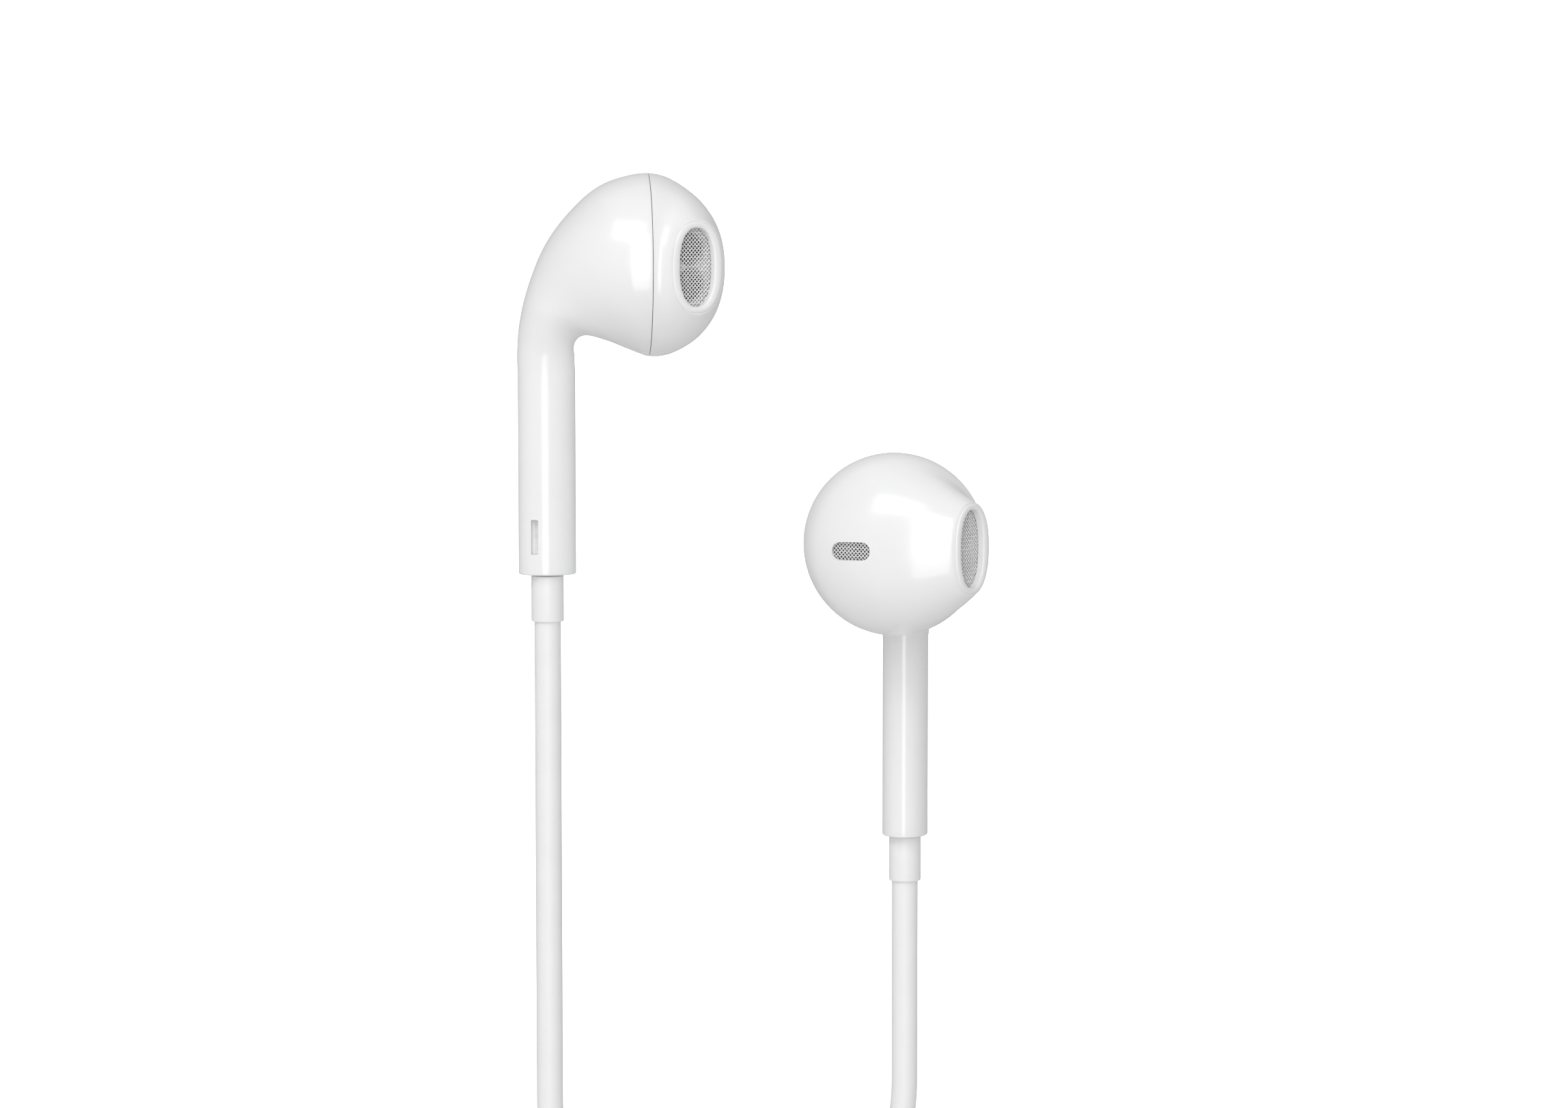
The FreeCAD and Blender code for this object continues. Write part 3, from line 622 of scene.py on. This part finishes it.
def vent_axes():
    """The vent's place on the front shell, the way out of it and the way along it, in the bud's frame."""
    low, high = 0.0, 1.0

    def far_point(share):
        return front_ring(Matrix.Identity(4), share, 0.0)[0]

    for _ in range(30):
        middle = (low + high) / 2
        if far_point(middle).y < VENT_SIDE:
            low = middle
        else:
            high = middle
    point = far_point(low)
    step = far_point(low + 0.01) - point
    along = Vector((step.x, step.y, 0)).normalized()
    out = Vector((along.y, -along.x, 0))
    return Vector((point.x, VENT_SIDE, VENT_RISE)), out, along


def vent_ring(matrix, grown, depth):
    """The vent's round-ended outline, grown all round, at a depth under the shell."""
    point, out, along = vent_axes()
    lean = Matrix.Rotation(math.radians(VENT_TILT), 3, out)
    along = lean @ along
    over = lean @ Vector((0, 0, 1))
    half, radius = (VENT_LENGTH - VENT_HEIGHT) / 2, VENT_HEIGHT / 2 + grown
    ring = []
    for end in (1, -1):
        for step in range(VENT_ARC_STEPS + 1):
            angle = math.pi * step / VENT_ARC_STEPS - math.pi / 2
            reach = end * (half + radius * math.cos(angle))
            rise = end * radius * math.sin(angle)
            ring.append(matrix @ (point - out * depth + along * reach + over * rise))
    return ring


class EARPHONES_OT_rear_shells(bpy.types.Operator):
    """Model both rear shells with their stems and slots"""

    bl_idname = "earphones.rear_shells"
    bl_label = "Rear shells"

    def execute(self, context):
        for side in SIDES:
            matrix = bud_matrix(side)
            shell = skin(side + "_rear_shell", self.rings(matrix), loop=True)
            cut(shell, self.slot_cutter(matrix))
            finish_piece(shell, "glossy_shell", side + "_rear_housing")
        return {"FINISHED"}

    def rings(self, matrix):
        """Seam edge, head, neck, stem with its rounded end, and the hollow back up to the seam."""
        s = sizes()
        rings = [rear_ring(matrix, 0, s.wall, -s.seam_gap)]
        rings += [rear_ring(matrix, 0, inset, -s.seam_gap - back) for inset, back in rounded(SEAM_EDGE)]
        rings += [rear_ring(matrix, degrees, 0.0) for degrees in (1.5, *range(3, 91))]
        straight = s.stem_length - s.neck_drop
        for share in (0.15, 0.4, 0.65, 0.85, 0.95):
            rings.append(stem_ring(matrix, -s.neck_drop - straight * share, 0.0))
        rings += [stem_ring(matrix, -s.stem_length + up, inset) for up, inset in rounded(STEM_END_EDGE)]
        rings += [stem_ring(matrix, height, s.wall) for height in (-s.stem_length, -s.neck_drop)]
        rings += [rear_ring(matrix, degrees, s.wall) for degrees in range(87, 2, -3)]
        return rings

    def slot_cutter(self, matrix):
        """A block through the stem's wall where its slot opens."""
        s = sizes()
        deselect()
        bpy.ops.mesh.primitive_cube_add(size=1)
        cutter = bpy.context.object
        height = -s.stem_length + SLOT_ABOVE_END + SLOT_HEIGHT / 2
        middle = Vector((-SLOT_BACK, s.stem_width / 2, height))
        scale = Matrix.Diagonal((SLOT_WIDTH, SLOT_DEPTH, SLOT_HEIGHT, 1))
        cutter.data.transform(matrix @ Matrix.Translation(middle) @ scale)
        close_up(cutter)
        bevel(cutter, SLOT_EDGE)
        return cutter


class EARPHONES_OT_front_shells(bpy.types.Operator):
    """Model both front shells with their nozzles and vents"""

    bl_idname = "earphones.front_shells"
    bl_label = "Front shells"

    def execute(self, context):
        for side in SIDES:
            matrix = bud_matrix(side)
            shell = skin(side + "_front_shell", self.rings(matrix), loop=True)
            cut(shell, self.vent_cutter(matrix))
            finish_piece(shell, "glossy_shell", side + "_front_housing")
        return {"FINISHED"}

    def rings(self, matrix):
        """Seam edge, outer form, rounded rim, mouth, and the cavity back to the seam."""
        s = sizes()
        rings = [front_ring(matrix, 0, s.wall)]
        rings += [front_ring(matrix, 0, inset, ahead) for inset, ahead in rounded(SEAM_EDGE)]
        rings += [front_ring(matrix, step / 60, 0.0) for step in range(1, 59)]
        steps = 8
        for step in range(steps + 1):
            angle = math.pi * step / steps
            share = (1 - math.cos(angle)) / 2
            breadth = NOZZLE_BREADTH + (s.mouth_breadth - NOZZLE_BREADTH) * share
            height = NOZZLE_HEIGHT + (s.mouth_height - NOZZLE_HEIGHT) * share
            rings.append(nozzle_ring(matrix, breadth, height, RIM_EDGE * (1 - math.sin(angle))))
        for lap, depths in ((0.0, 1), (GRILLE_SEAT, 1), (GRILLE_SEAT, 2)):
            breadth, height = s.mouth_breadth + lap, s.mouth_height + lap
            rings.append(nozzle_ring(matrix, breadth, height, depths * s.mouth_depth))
        rings += [front_ring(matrix, step / 20, s.wall) for step in range(15, 0, -1)]
        return rings

    def vent_cutter(self, matrix):
        """A plug with a flared lip, and a wider seat for the vent's grille under the shell's face."""
        rings = [vent_ring(matrix, grown * MM, depth * MM) for grown, depth in VENT_CUTTER]
        cutter = skin("vent_cutter", rings)
        edit(cutter)
        bpy.ops.mesh.select_all(action="DESELECT")
        bpy.ops.mesh.select_non_manifold()
        bpy.ops.mesh.fill_holes(sides=0)
        bpy.ops.mesh.select_all(action="SELECT")
        bpy.ops.mesh.normals_make_consistent(inside=False)
        return cutter


def inside_nozzle(reach, rise):
    breadth, height = sizes().mouth_breadth + GRILLE_LAP, sizes().mouth_height + GRILLE_LAP
    return abs(2 * reach / breadth) ** NOZZLE_SQUARENESS + abs(2 * rise / height) ** NOZZLE_SQUARENESS < 1


def inside_vent(reach, rise):
    over = max(0.0, abs(reach) - (VENT_LENGTH - VENT_HEIGHT) / 2)
    return over ** 2 + rise ** 2 < ((VENT_HEIGHT + GRILLE_LAP) / 2) ** 2


def new_curve(name, radius, resolution):
    """A curve of round section with closed ends."""
    curve = bpy.data.curves.new(name, "CURVE")
    curve.dimensions = "3D"
    curve.bevel_depth = radius
    curve.bevel_resolution = resolution
    curve.use_fill_caps = True
    obj = bpy.data.objects.new(name, curve)
    bpy.context.collection.objects.link(obj)
    return obj


def add_spline(curve, kind, points):
    spline = curve.splines.new(kind)
    spline.points.add(len(points) - 1)
    for target, point in zip(spline.points, points):
        target.co = (*point, 1)
    return spline


def woven_mesh(name, place, inside, span):
    """Two families of wires that cross on the slant and pass over and under each other."""
    s = sizes()
    pitch, radius = s.mesh_pitch, s.wire_radius
    obj = new_curve(name, radius, 1)
    count = int(span / pitch) + 1
    slant = math.sqrt(0.5)
    for family, turn in enumerate((1, -1)):
        for wire in range(-count, count + 1):
            points = []
            for step in range(-2 * count, 2 * count + 1):
                run, offset = step * pitch / 2, wire * pitch
                lift = 0.0
                if step % 2 == 0:
                    lift = radius * (1 if (step // 2 + wire + family) % 2 else -1)
                reach = (run - turn * offset) * slant
                rise = (turn * run + offset) * slant
                if inside(reach, rise):
                    points.append(place(reach, rise, lift))
            if len(points) > 2:
                add_spline(obj.data, "POLY", points)
    pick(obj)
    bpy.ops.object.convert(target="MESH")
    return bpy.context.object


class EARPHONES_OT_grilles(bpy.types.Operator):
    """Weave the nozzle and vent grilles"""

    bl_idname = "earphones.grilles"
    bl_label = "Grilles"

    def execute(self, context):
        s = sizes()
        middle = WIRES_TO_MIDDLE * s.wire_radius
        openings = (
            ("nozzle", nozzle_axes(), s.mouth_depth + middle, inside_nozzle, s.mouth_height + GRILLE_LAP),
            ("vent", vent_axes(), VENT_MESH_DEPTH + middle, inside_vent, VENT_LENGTH + GRILLE_LAP),
        )
        for side in SIDES:
            matrix = bud_matrix(side)
            for opening, (point, out, along), depth, inside, span in openings:

                def place(reach, rise, lift):
                    return matrix @ (point - out * (depth - lift) + along * reach + Vector((0, 0, rise)))

                mesh = woven_mesh(side + "_" + opening + "_mesh", place, inside, span)
                finish_piece(mesh, "steel_mesh", side + "_" + opening + "_grille")
        return {"FINISHED"}


class EARPHONES_OT_port_plates(bpy.types.Operator):
    """Model the plates with two round ports behind the nozzle grilles"""

    bl_idname = "earphones.port_plates"
    bl_label = "Port plates"

    def execute(self, context):
        s = sizes()
        for side in SIDES:
            matrix = bud_matrix(side)
            top = s.mouth_depth + PLATE_GAP
            foot = top + PLATE_THICKNESS
            breadth, height = s.mouth_breadth + GRILLE_LAP, s.mouth_height + GRILLE_LAP
            steps = ((0.0, 0.0, top), (breadth, height, top), (breadth, height, foot), (0.0, 0.0, foot))
            rings = [nozzle_ring(matrix, *step, PLATE_POINTS) for step in steps]
            plate = skin(side + "_port_plate", rings)
            middle, out, _ = nozzle_axes()
            axis = (matrix.to_3x3() @ -out).normalized()
            for end in (-1, 1):
                port = middle - out * top + Vector((0, 0, end * PORT_OFFSET))
                cut(plate, turned_piece("port_cutter", PORT_CUTTER, matrix @ port, axis, PLATE_POINTS))
            finish_piece(plate, "port_plastic", side + "_nozzle_port_plate")
        return {"FINISHED"}


class EARPHONES_OT_strain_reliefs(bpy.types.Operator):
    """Turn the soft sleeves under the stems"""

    bl_idname = "earphones.strain_reliefs"
    bl_label = "Strain reliefs"

    def execute(self, context):
        edge = rounded(SLEEVE_EDGE)
        foot = [(SLEEVE_RADIUS - inset, along) for inset, along in edge]
        top = [(SLEEVE_RADIUS - inset, SLEEVE_TOP - along) for inset, along in reversed(edge)]
        profile = [(AXIS, 0), *foot, *top, *SLEEVE_NECK]
        for side in SIDES:
            middle = centre(side + "_strain_relief")
            start = (middle.x, middle.y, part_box(side + "_strain_relief")[0][2])
            sleeve = turned_piece(side + "_relief_sleeve", profile, start, (0, 0, 1))
            finish_piece(sleeve, "soft_jacket", side + "_strain_relief")
        return {"FINISHED"}


# ---------------------------------------------------------------- cords

def nurbs_cord(name, points, diameter):
    """A round cord on one smooth line through its route's control points."""
    obj = new_curve(name, diameter / 2, 6)
    obj.data.resolution_u = 8
    spline = add_spline(obj.data, "NURBS", points)
    spline.order_u = 3
    spline.use_endpoint_u = True
    return obj


def coil_points(middle, radius, start_side, turns, back, pitch):
    """Control points of whole turns about a level axis, going down first on the start side."""
    count = sizes().coil_points
    reach = radius / math.cos(math.pi / count)
    points = []
    for step in range(turns * count):
        turn = (step + 0.5) / count
        angle = math.tau * turn
        x = middle.x + start_side * reach * math.cos(angle)
        points.append((x, back + pitch * turn, middle.z - reach * math.sin(angle)))
    return points


class EARPHONES_OT_cords(bpy.types.Operator):
    """Lay both branch cords and the trunk cord along their routes"""

    bl_idname = "earphones.cords"
    bl_label = "Cords"

    def execute(self, context):
        half = BRANCH_RADIUS
        splitter_low, splitter_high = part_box("splitter_sleeve")
        splitter = centre("splitter_sleeve")
        branches = []
        for side, sign in (("left", -1), ("right", 1)):
            relief = centre(side + "_strain_relief")
            relief_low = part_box(side + "_strain_relief")[0][2]
            low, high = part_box(side + "_cord_coil")
            middle = centre(side + "_cord_coil")
            radius = (high[2] - low[2]) / 2 - half
            into, out = low[1] + half, high[1] - half
            edge = middle.x + sign * radius
            mouth = splitter.x + sign * BRANCH_MOUTH
            points = [(relief.x, relief.y, z) for z in (relief_low, *BRANCH_RUN[side])]
            points.append((edge, into, BRANCH_INTO_COIL))
            points += coil_points(middle, radius, sign, BRANCH_TURNS, into, (out - into) / BRANCH_TURNS)
            points.append((edge, out, BRANCH_OUT_OF_COIL))
            points += [(mouth, splitter.y, z) for z in (BRANCH_OVER_SPLITTER, splitter_high[2])]
            cord = nurbs_cord(side + "_branch_cord", points, 2 * half)
            nodes = [side + "_cord_" + part for part in ("upper", "coil", "lower")]
            finish_piece(cord, "soft_jacket", *nodes)
            branches.append((cord, points[0]))
        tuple(branches[0][1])
        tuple(branches[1][1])
        self.trunk(splitter, splitter_low[2])
        return {"FINISHED"}

    def trunk(self, splitter, start):
        """Lays the trunk back through its coil's outer layer, forward through the inner one, to the plug."""
        half, pitch = TRUNK_RADIUS, TRUNK_PITCH
        middle = centre("trunk_cord_coil")
        low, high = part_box("trunk_cord_coil")
        outer = (high[2] - low[2]) / 2 - half
        points = [(middle.x - outer, splitter.y, start)]
        points += coil_points(middle, outer, -1, TRUNK_OUTER_TURNS, splitter.y, pitch)
        back = splitter.y + TRUNK_OUTER_TURNS * pitch
        points += coil_points(middle, outer - pitch, -1, TRUNK_INNER_TURNS, back, -pitch)
        plug = centre("plug_relief")
        plug_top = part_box("plug_relief")[1][2]
        points += [(plug.x, plug.y, middle.z - TRUNK_UNDER_COIL), (plug.x, plug.y, plug_top)]
        cord = nurbs_cord("trunk_cord", points, 2 * half)
        finish_piece(cord, "soft_jacket", "trunk_cord_upper", "trunk_cord_coil",
                     "trunk_cord_lower")
        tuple(points[0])


class EARPHONES_OT_splitter(bpy.types.Operator):
    """Model the splitter's tapered sleeve"""

    bl_idname = "earphones.splitter"
    bl_label = "Splitter"

    def execute(self, context):
        low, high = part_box("splitter_sleeve")
        middle = centre("splitter_sleeve")
        top, bottom = high[2], low[2]
        wide, deep = (high[0] - low[0]) / 2, (high[1] - low[1]) / 2
        tall, edge = top - bottom, rounded(SPLITTER_EDGE)

        def ring(height, inset):
            share = (height - bottom) / tall
            ease = share * share * (3 - 2 * share)
            half_wide = SPLITTER_FOOT_WIDE + (wide - SPLITTER_FOOT_WIDE) * ease - inset
            half_deep = SPLITTER_FOOT_DEEP + (deep - SPLITTER_FOOT_DEEP) * ease - inset

            def place(reach, side):
                return Vector((middle.x + reach, middle.y + side, height))

            return oval(place, -half_wide, half_wide, half_deep, SPLITTER_SQUARENESS, SPLITTER_POINTS)

        rings = [ring(bottom, SPLITTER_WALL)]
        rings += [ring(bottom + up, inset) for inset, up in edge]
        rings += [ring(bottom + tall * step / SPLITTER_STEPS, 0.0) for step in range(1, SPLITTER_STEPS)]
        rings += [ring(top - down, inset) for inset, down in reversed(edge)]
        rings += [ring(bottom + tall * share, SPLITTER_WALL) for share in (1.0, 0.75, 0.5, 0.25)]
        sleeve = skin("splitter_sleeve_cover", rings, loop=True)
        finish_piece(sleeve, "glossy_shell", "splitter_sleeve")
        return {"FINISHED"}


class EARPHONES_OT_plug(bpy.types.Operator):
    """Turn the plug's bend relief, grip and contacts"""

    bl_idname = "earphones.plug"
    bl_label = "Plug"

    def execute(self, context):
        middle = centre("plug_relief")
        for name, profile, points, slot, node in (
            ("plug_bend_relief", self.ribs(), 64, "soft_jacket", "plug_relief"),
            ("plug_body", GRIP_PROFILE, 96, "satin_grip", "plug_grip"),
            ("plug_sleeve", SLEEVE_CONTACT_PROFILE, 64, "nickel", "plug_sleeve_contact"),
            ("plug_ring", RING_CONTACT_PROFILE, 64, "nickel", "plug_ring_contact"),
            ("plug_bands", BANDS_PROFILE, 64, "insulator", "plug_insulators"),
            ("plug_tip", TIP_PROFILE, 64, "nickel", "plug_tip_contact"),
        ):
            start = (middle.x, middle.y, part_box(node)[1][2])
            piece = turned_piece(name, profile, start, (0, 0, -1), points)
            if node == "plug_relief":
                bevel(piece, CONE_EDGE)
            finish_piece(piece, slot, node, smooth_angle=30)
        return {"FINISHED"}

    def ribs(self):
        """The bend relief's profile: a cone that widens downwards, with a groove after each rib."""
        profile = [(AXIS, 0.0), (1.31, 0.0), (1.37, 0.06)]
        for rib in range(RIB_COUNT):
            along = RIB_FIRST + rib * RIB_PITCH
            radius = CONE_RADIUS + (CONE_FOOT_RADIUS - CONE_RADIUS) * along / CONE_LENGTH
            profile += [(radius, along), (radius - GROOVE, along + 0.08), (radius - GROOVE, along + 0.42),
                        (radius + 0.01, along + 0.5)]
        return profile + [(1.79, 7.7), (CONE_FOOT_RADIUS, CONE_LENGTH), (AXIS, CONE_LENGTH)]


class EARPHONES_OT_ties(bpy.types.Operator):
    """Wrap a soft band round each coil"""

    bl_idname = "earphones.ties"
    bl_label = "Coil ties"

    def execute(self, context):
        upper_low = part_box("left_cord_coil")[0]
        upper_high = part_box("right_cord_coil")[1]
        middle = centre("left_cord_coil")
        outer = (upper_high[2] - upper_low[2]) / 2
        self.band("branch_tie_band", middle, outer - BRANCH_COIL_DEPTH, outer,
                  upper_low[1], upper_high[1], math.radians(-90), "branch_coil_tie")
        low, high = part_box("trunk_cord_coil")
        outer = (high[2] - low[2]) / 2
        self.band("trunk_tie_band", centre("trunk_cord_coil"), outer - TRUNK_COIL_DEPTH, outer,
                  low[1], high[1], 0.0, "trunk_coil_tie")
        return {"FINISHED"}

    def band(self, name, middle, inner, outer, front, back, turn, node):
        """A strap round a bundle's section, with rounded corners and edges; turn is its place on the coil."""
        away = Vector((math.cos(turn), 0, math.sin(turn)))
        along = Vector((-math.sin(turn), 0, math.cos(turn)))
        flat_r = (outer - inner) / 2 + TIE_GAP - TIE_CORNER
        flat_y = (back - front) / 2 + TIE_GAP - TIE_CORNER
        centre_r, centre_y = (outer + inner) / 2, (back + front) / 2
        rings = []
        for quarter, (sign_r, sign_y) in enumerate(((1, 1), (-1, 1), (-1, -1), (1, -1))):
            for step in range(TIE_CORNER_STEPS + 1):
                angle = math.pi / 2 * (quarter + step / TIE_CORNER_STEPS)
                normal_r, normal_y = math.cos(angle), math.sin(angle)
                ring = []
                for part in range(TIE_SECTION_POINTS):
                    spot = math.tau * part / TIE_SECTION_POINTS
                    side = math.copysign(abs(math.cos(spot)) ** 0.35, math.cos(spot)) * TIE_WIDTH / 2
                    lift = TIE_THICKNESS / 2 * (1 + math.copysign(abs(math.sin(spot)) ** 0.6, math.sin(spot)))
                    r = centre_r + sign_r * flat_r + normal_r * (TIE_CORNER + lift)
                    y = centre_y + sign_y * flat_y + normal_y * (TIE_CORNER + lift)
                    sag = side * side / (2 * r)
                    ring.append(Vector((middle.x, y, middle.z)) + away * (r - sag) + along * side)
                rings.append(ring)
        band = skin(name, rings, loop=True)
        finish_piece(band, "tie", node)


class EARPHONES_OT_inner_finishes(bpy.types.Operator):
    """Give every carried-over inner piece its finish"""

    bl_idname = "earphones.inner_finishes"
    bl_label = "Inner finishes"

    def execute(self, context):
        slots = {part["node"]: part["material_slot"] for part in frame["record"]["subparts"]}
        for name, obj in frame["nodes"].items():
            material = FINISH[slots[name]]
            for place in obj.material_slots:
                place.material = material
            if not obj.material_slots:
                obj.data.materials.append(material)
        return {"FINISHED"}


class EARPHONES_OT_stage(bpy.types.Operator):
    """Set up the camera, soft lights and the pale floor"""

    bl_idname = "earphones.stage"
    bl_label = "Stage"

    def execute(self, context):
        self.floor()
        self.lights()
        self.camera()
        return {"FINISHED"}

    def floor(self):
        """A pale sheet that lies under the pair and sweeps up behind it."""
        ground = cad_low.z - FLOOR_BELOW
        half_width, front, back, radius, top = 0.9, -1.0, 2.4, 0.8, 1.6
        profile = [(front, 0.0), (0.0, 0.0), (back - radius, 0.0)]
        for step in range(1, 13):
            angle = math.pi / 2 * step / 12
            profile.append((back - radius + radius * math.sin(angle), radius * (1 - math.cos(angle))))
        profile.append((back, top))
        deselect()
        bpy.ops.mesh.primitive_grid_add(x_subdivisions=8, y_subdivisions=len(profile) - 1, size=1)
        floor = bpy.context.object
        floor.name = "floor"
        flat = []
        for y, height in profile:
            for step in range(9):
                flat += [half_width * (step / 4 - 1), y, ground + height]
        floor.data.vertices.foreach_set("co", flat)
        material = plastic("pale_floor", (0.78, 0.78, 0.78), 0.8, 0.2, 0.01)
        floor.data.materials.append(material)
        self.brighten(material)
        smooth(floor, 60)
        floor.visible_glossy = False

    def brighten(self, material):
        """Lights the sheet from within where it runs back and up, as a studio's lit background."""
        nodes, links = material.node_tree.nodes, material.node_tree.links
        place = nodes.new("ShaderNodeTexCoord")
        split = nodes.new("ShaderNodeSeparateXYZ")
        span = nodes.new("ShaderNodeMapRange")
        span.inputs["From Min"].default_value = 0.2
        span.inputs["From Max"].default_value = 0.6
        span.inputs["To Max"].default_value = 1.1
        links.new(place.outputs["Object"], split.inputs["Vector"])
        links.new(split.outputs["Y"], span.inputs["Value"])
        links.new(span.outputs["Result"], nodes["Principled BSDF"].inputs["Emission Strength"])
        nodes["Principled BSDF"].inputs["Emission Color"].default_value = (1, 1, 1, 1)

    def lights(self):
        bpy.context.scene.view_settings.view_transform = "Standard"
        world = bpy.context.scene.world or bpy.data.worlds.new("world")
        bpy.context.scene.world = world
        world.use_nodes = True
        background = world.node_tree.nodes["Background"]
        background.inputs["Color"].default_value = (1, 1, 1, 1)
        background.inputs["Strength"].default_value = WORLD_STRENGTH
        middle = Vector(LIGHTS_TARGET)
        for name, place, width, height, power in (
            ("key", (-0.4, -0.8, 0.9), 0.8, 0.6, 4.0),
            ("front", (-0.05, -1.3, 0.1), 0.45, 1.8, 9.6),
            ("top", (0.0, 0.1, 1.1), 1.4, 1.2, 1.4),
        ):
            data = bpy.data.lights.new(name, "AREA")
            data.shape = "RECTANGLE"
            data.size, data.size_y = width, height
            data.energy = power
            light = bpy.data.objects.new(name, data)
            bpy.context.collection.objects.link(light)
            light.location = place
            light.rotation_euler = (middle - Vector(place)).to_track_quat("-Z", "Y").to_euler()

    def camera(self):
        data = bpy.data.cameras.new("camera")
        data.sensor_width = 36.0
        data.lens = data.sensor_width * CAMERA_DISTANCE / FRAME_WIDTH
        data.clip_start, data.clip_end = 0.01, 20
        camera = bpy.data.objects.new("camera", data)
        bpy.context.collection.objects.link(camera)
        target = Vector(CAMERA_TARGET)
        tilt = math.radians(CAMERA_TILT)
        camera.location = target + Vector((0, -math.cos(tilt), math.sin(tilt))) * CAMERA_DISTANCE
        camera.rotation_euler = (target - camera.location).to_track_quat("-Z", "Y").to_euler()
        bpy.context.scene.camera = camera


class EARPHONES_PT_panel(bpy.types.Panel):
    """Lists the pieces"""

    bl_idname = "EARPHONES_PT_panel"
    bl_label = "Earphones"
    bl_space_type = "VIEW_3D"
    bl_region_type = "UI"
    bl_category = "Earphones"

    def draw(self, context):
        for step in STEPS:
            self.layout.operator(step.bl_idname)
        for group in (context.scene.earphone_sizes, context.scene.earphone_colours):
            column = self.layout.column()
            for name in group.bl_rna.properties.keys():
                if name not in ("rna_type", "name"):
                    column.prop(group, name)


STEPS = (
    EARPHONES_OT_stage,
    EARPHONES_OT_inner_finishes,
    EARPHONES_OT_rear_shells,
    EARPHONES_OT_front_shells,
    EARPHONES_OT_grilles,
    EARPHONES_OT_port_plates,
    EARPHONES_OT_strain_reliefs,
    EARPHONES_OT_splitter,
    EARPHONES_OT_plug,
    EARPHONES_OT_ties,
    EARPHONES_OT_cords,
)
CLASSES = (EarphoneSizes, EarphoneColours, *STEPS, EARPHONES_PT_panel)


def register():
    for cls in CLASSES:
        bpy.utils.register_class(cls)
    bpy.types.Scene.earphone_sizes = PointerProperty(type=EarphoneSizes)
    bpy.types.Scene.earphone_colours = PointerProperty(type=EarphoneColours)


def unregister():
    del bpy.types.Scene.earphone_colours
    del bpy.types.Scene.earphone_sizes
    for cls in reversed(CLASSES):
        bpy.utils.unregister_class(cls)


def main():
    register()
    FINISH.update(make_finishes())
    for step in STEPS:
        group, name = step.bl_idname.split(".")
        getattr(getattr(bpy.ops, group), name)()


if __name__ == "__main__":
    main()
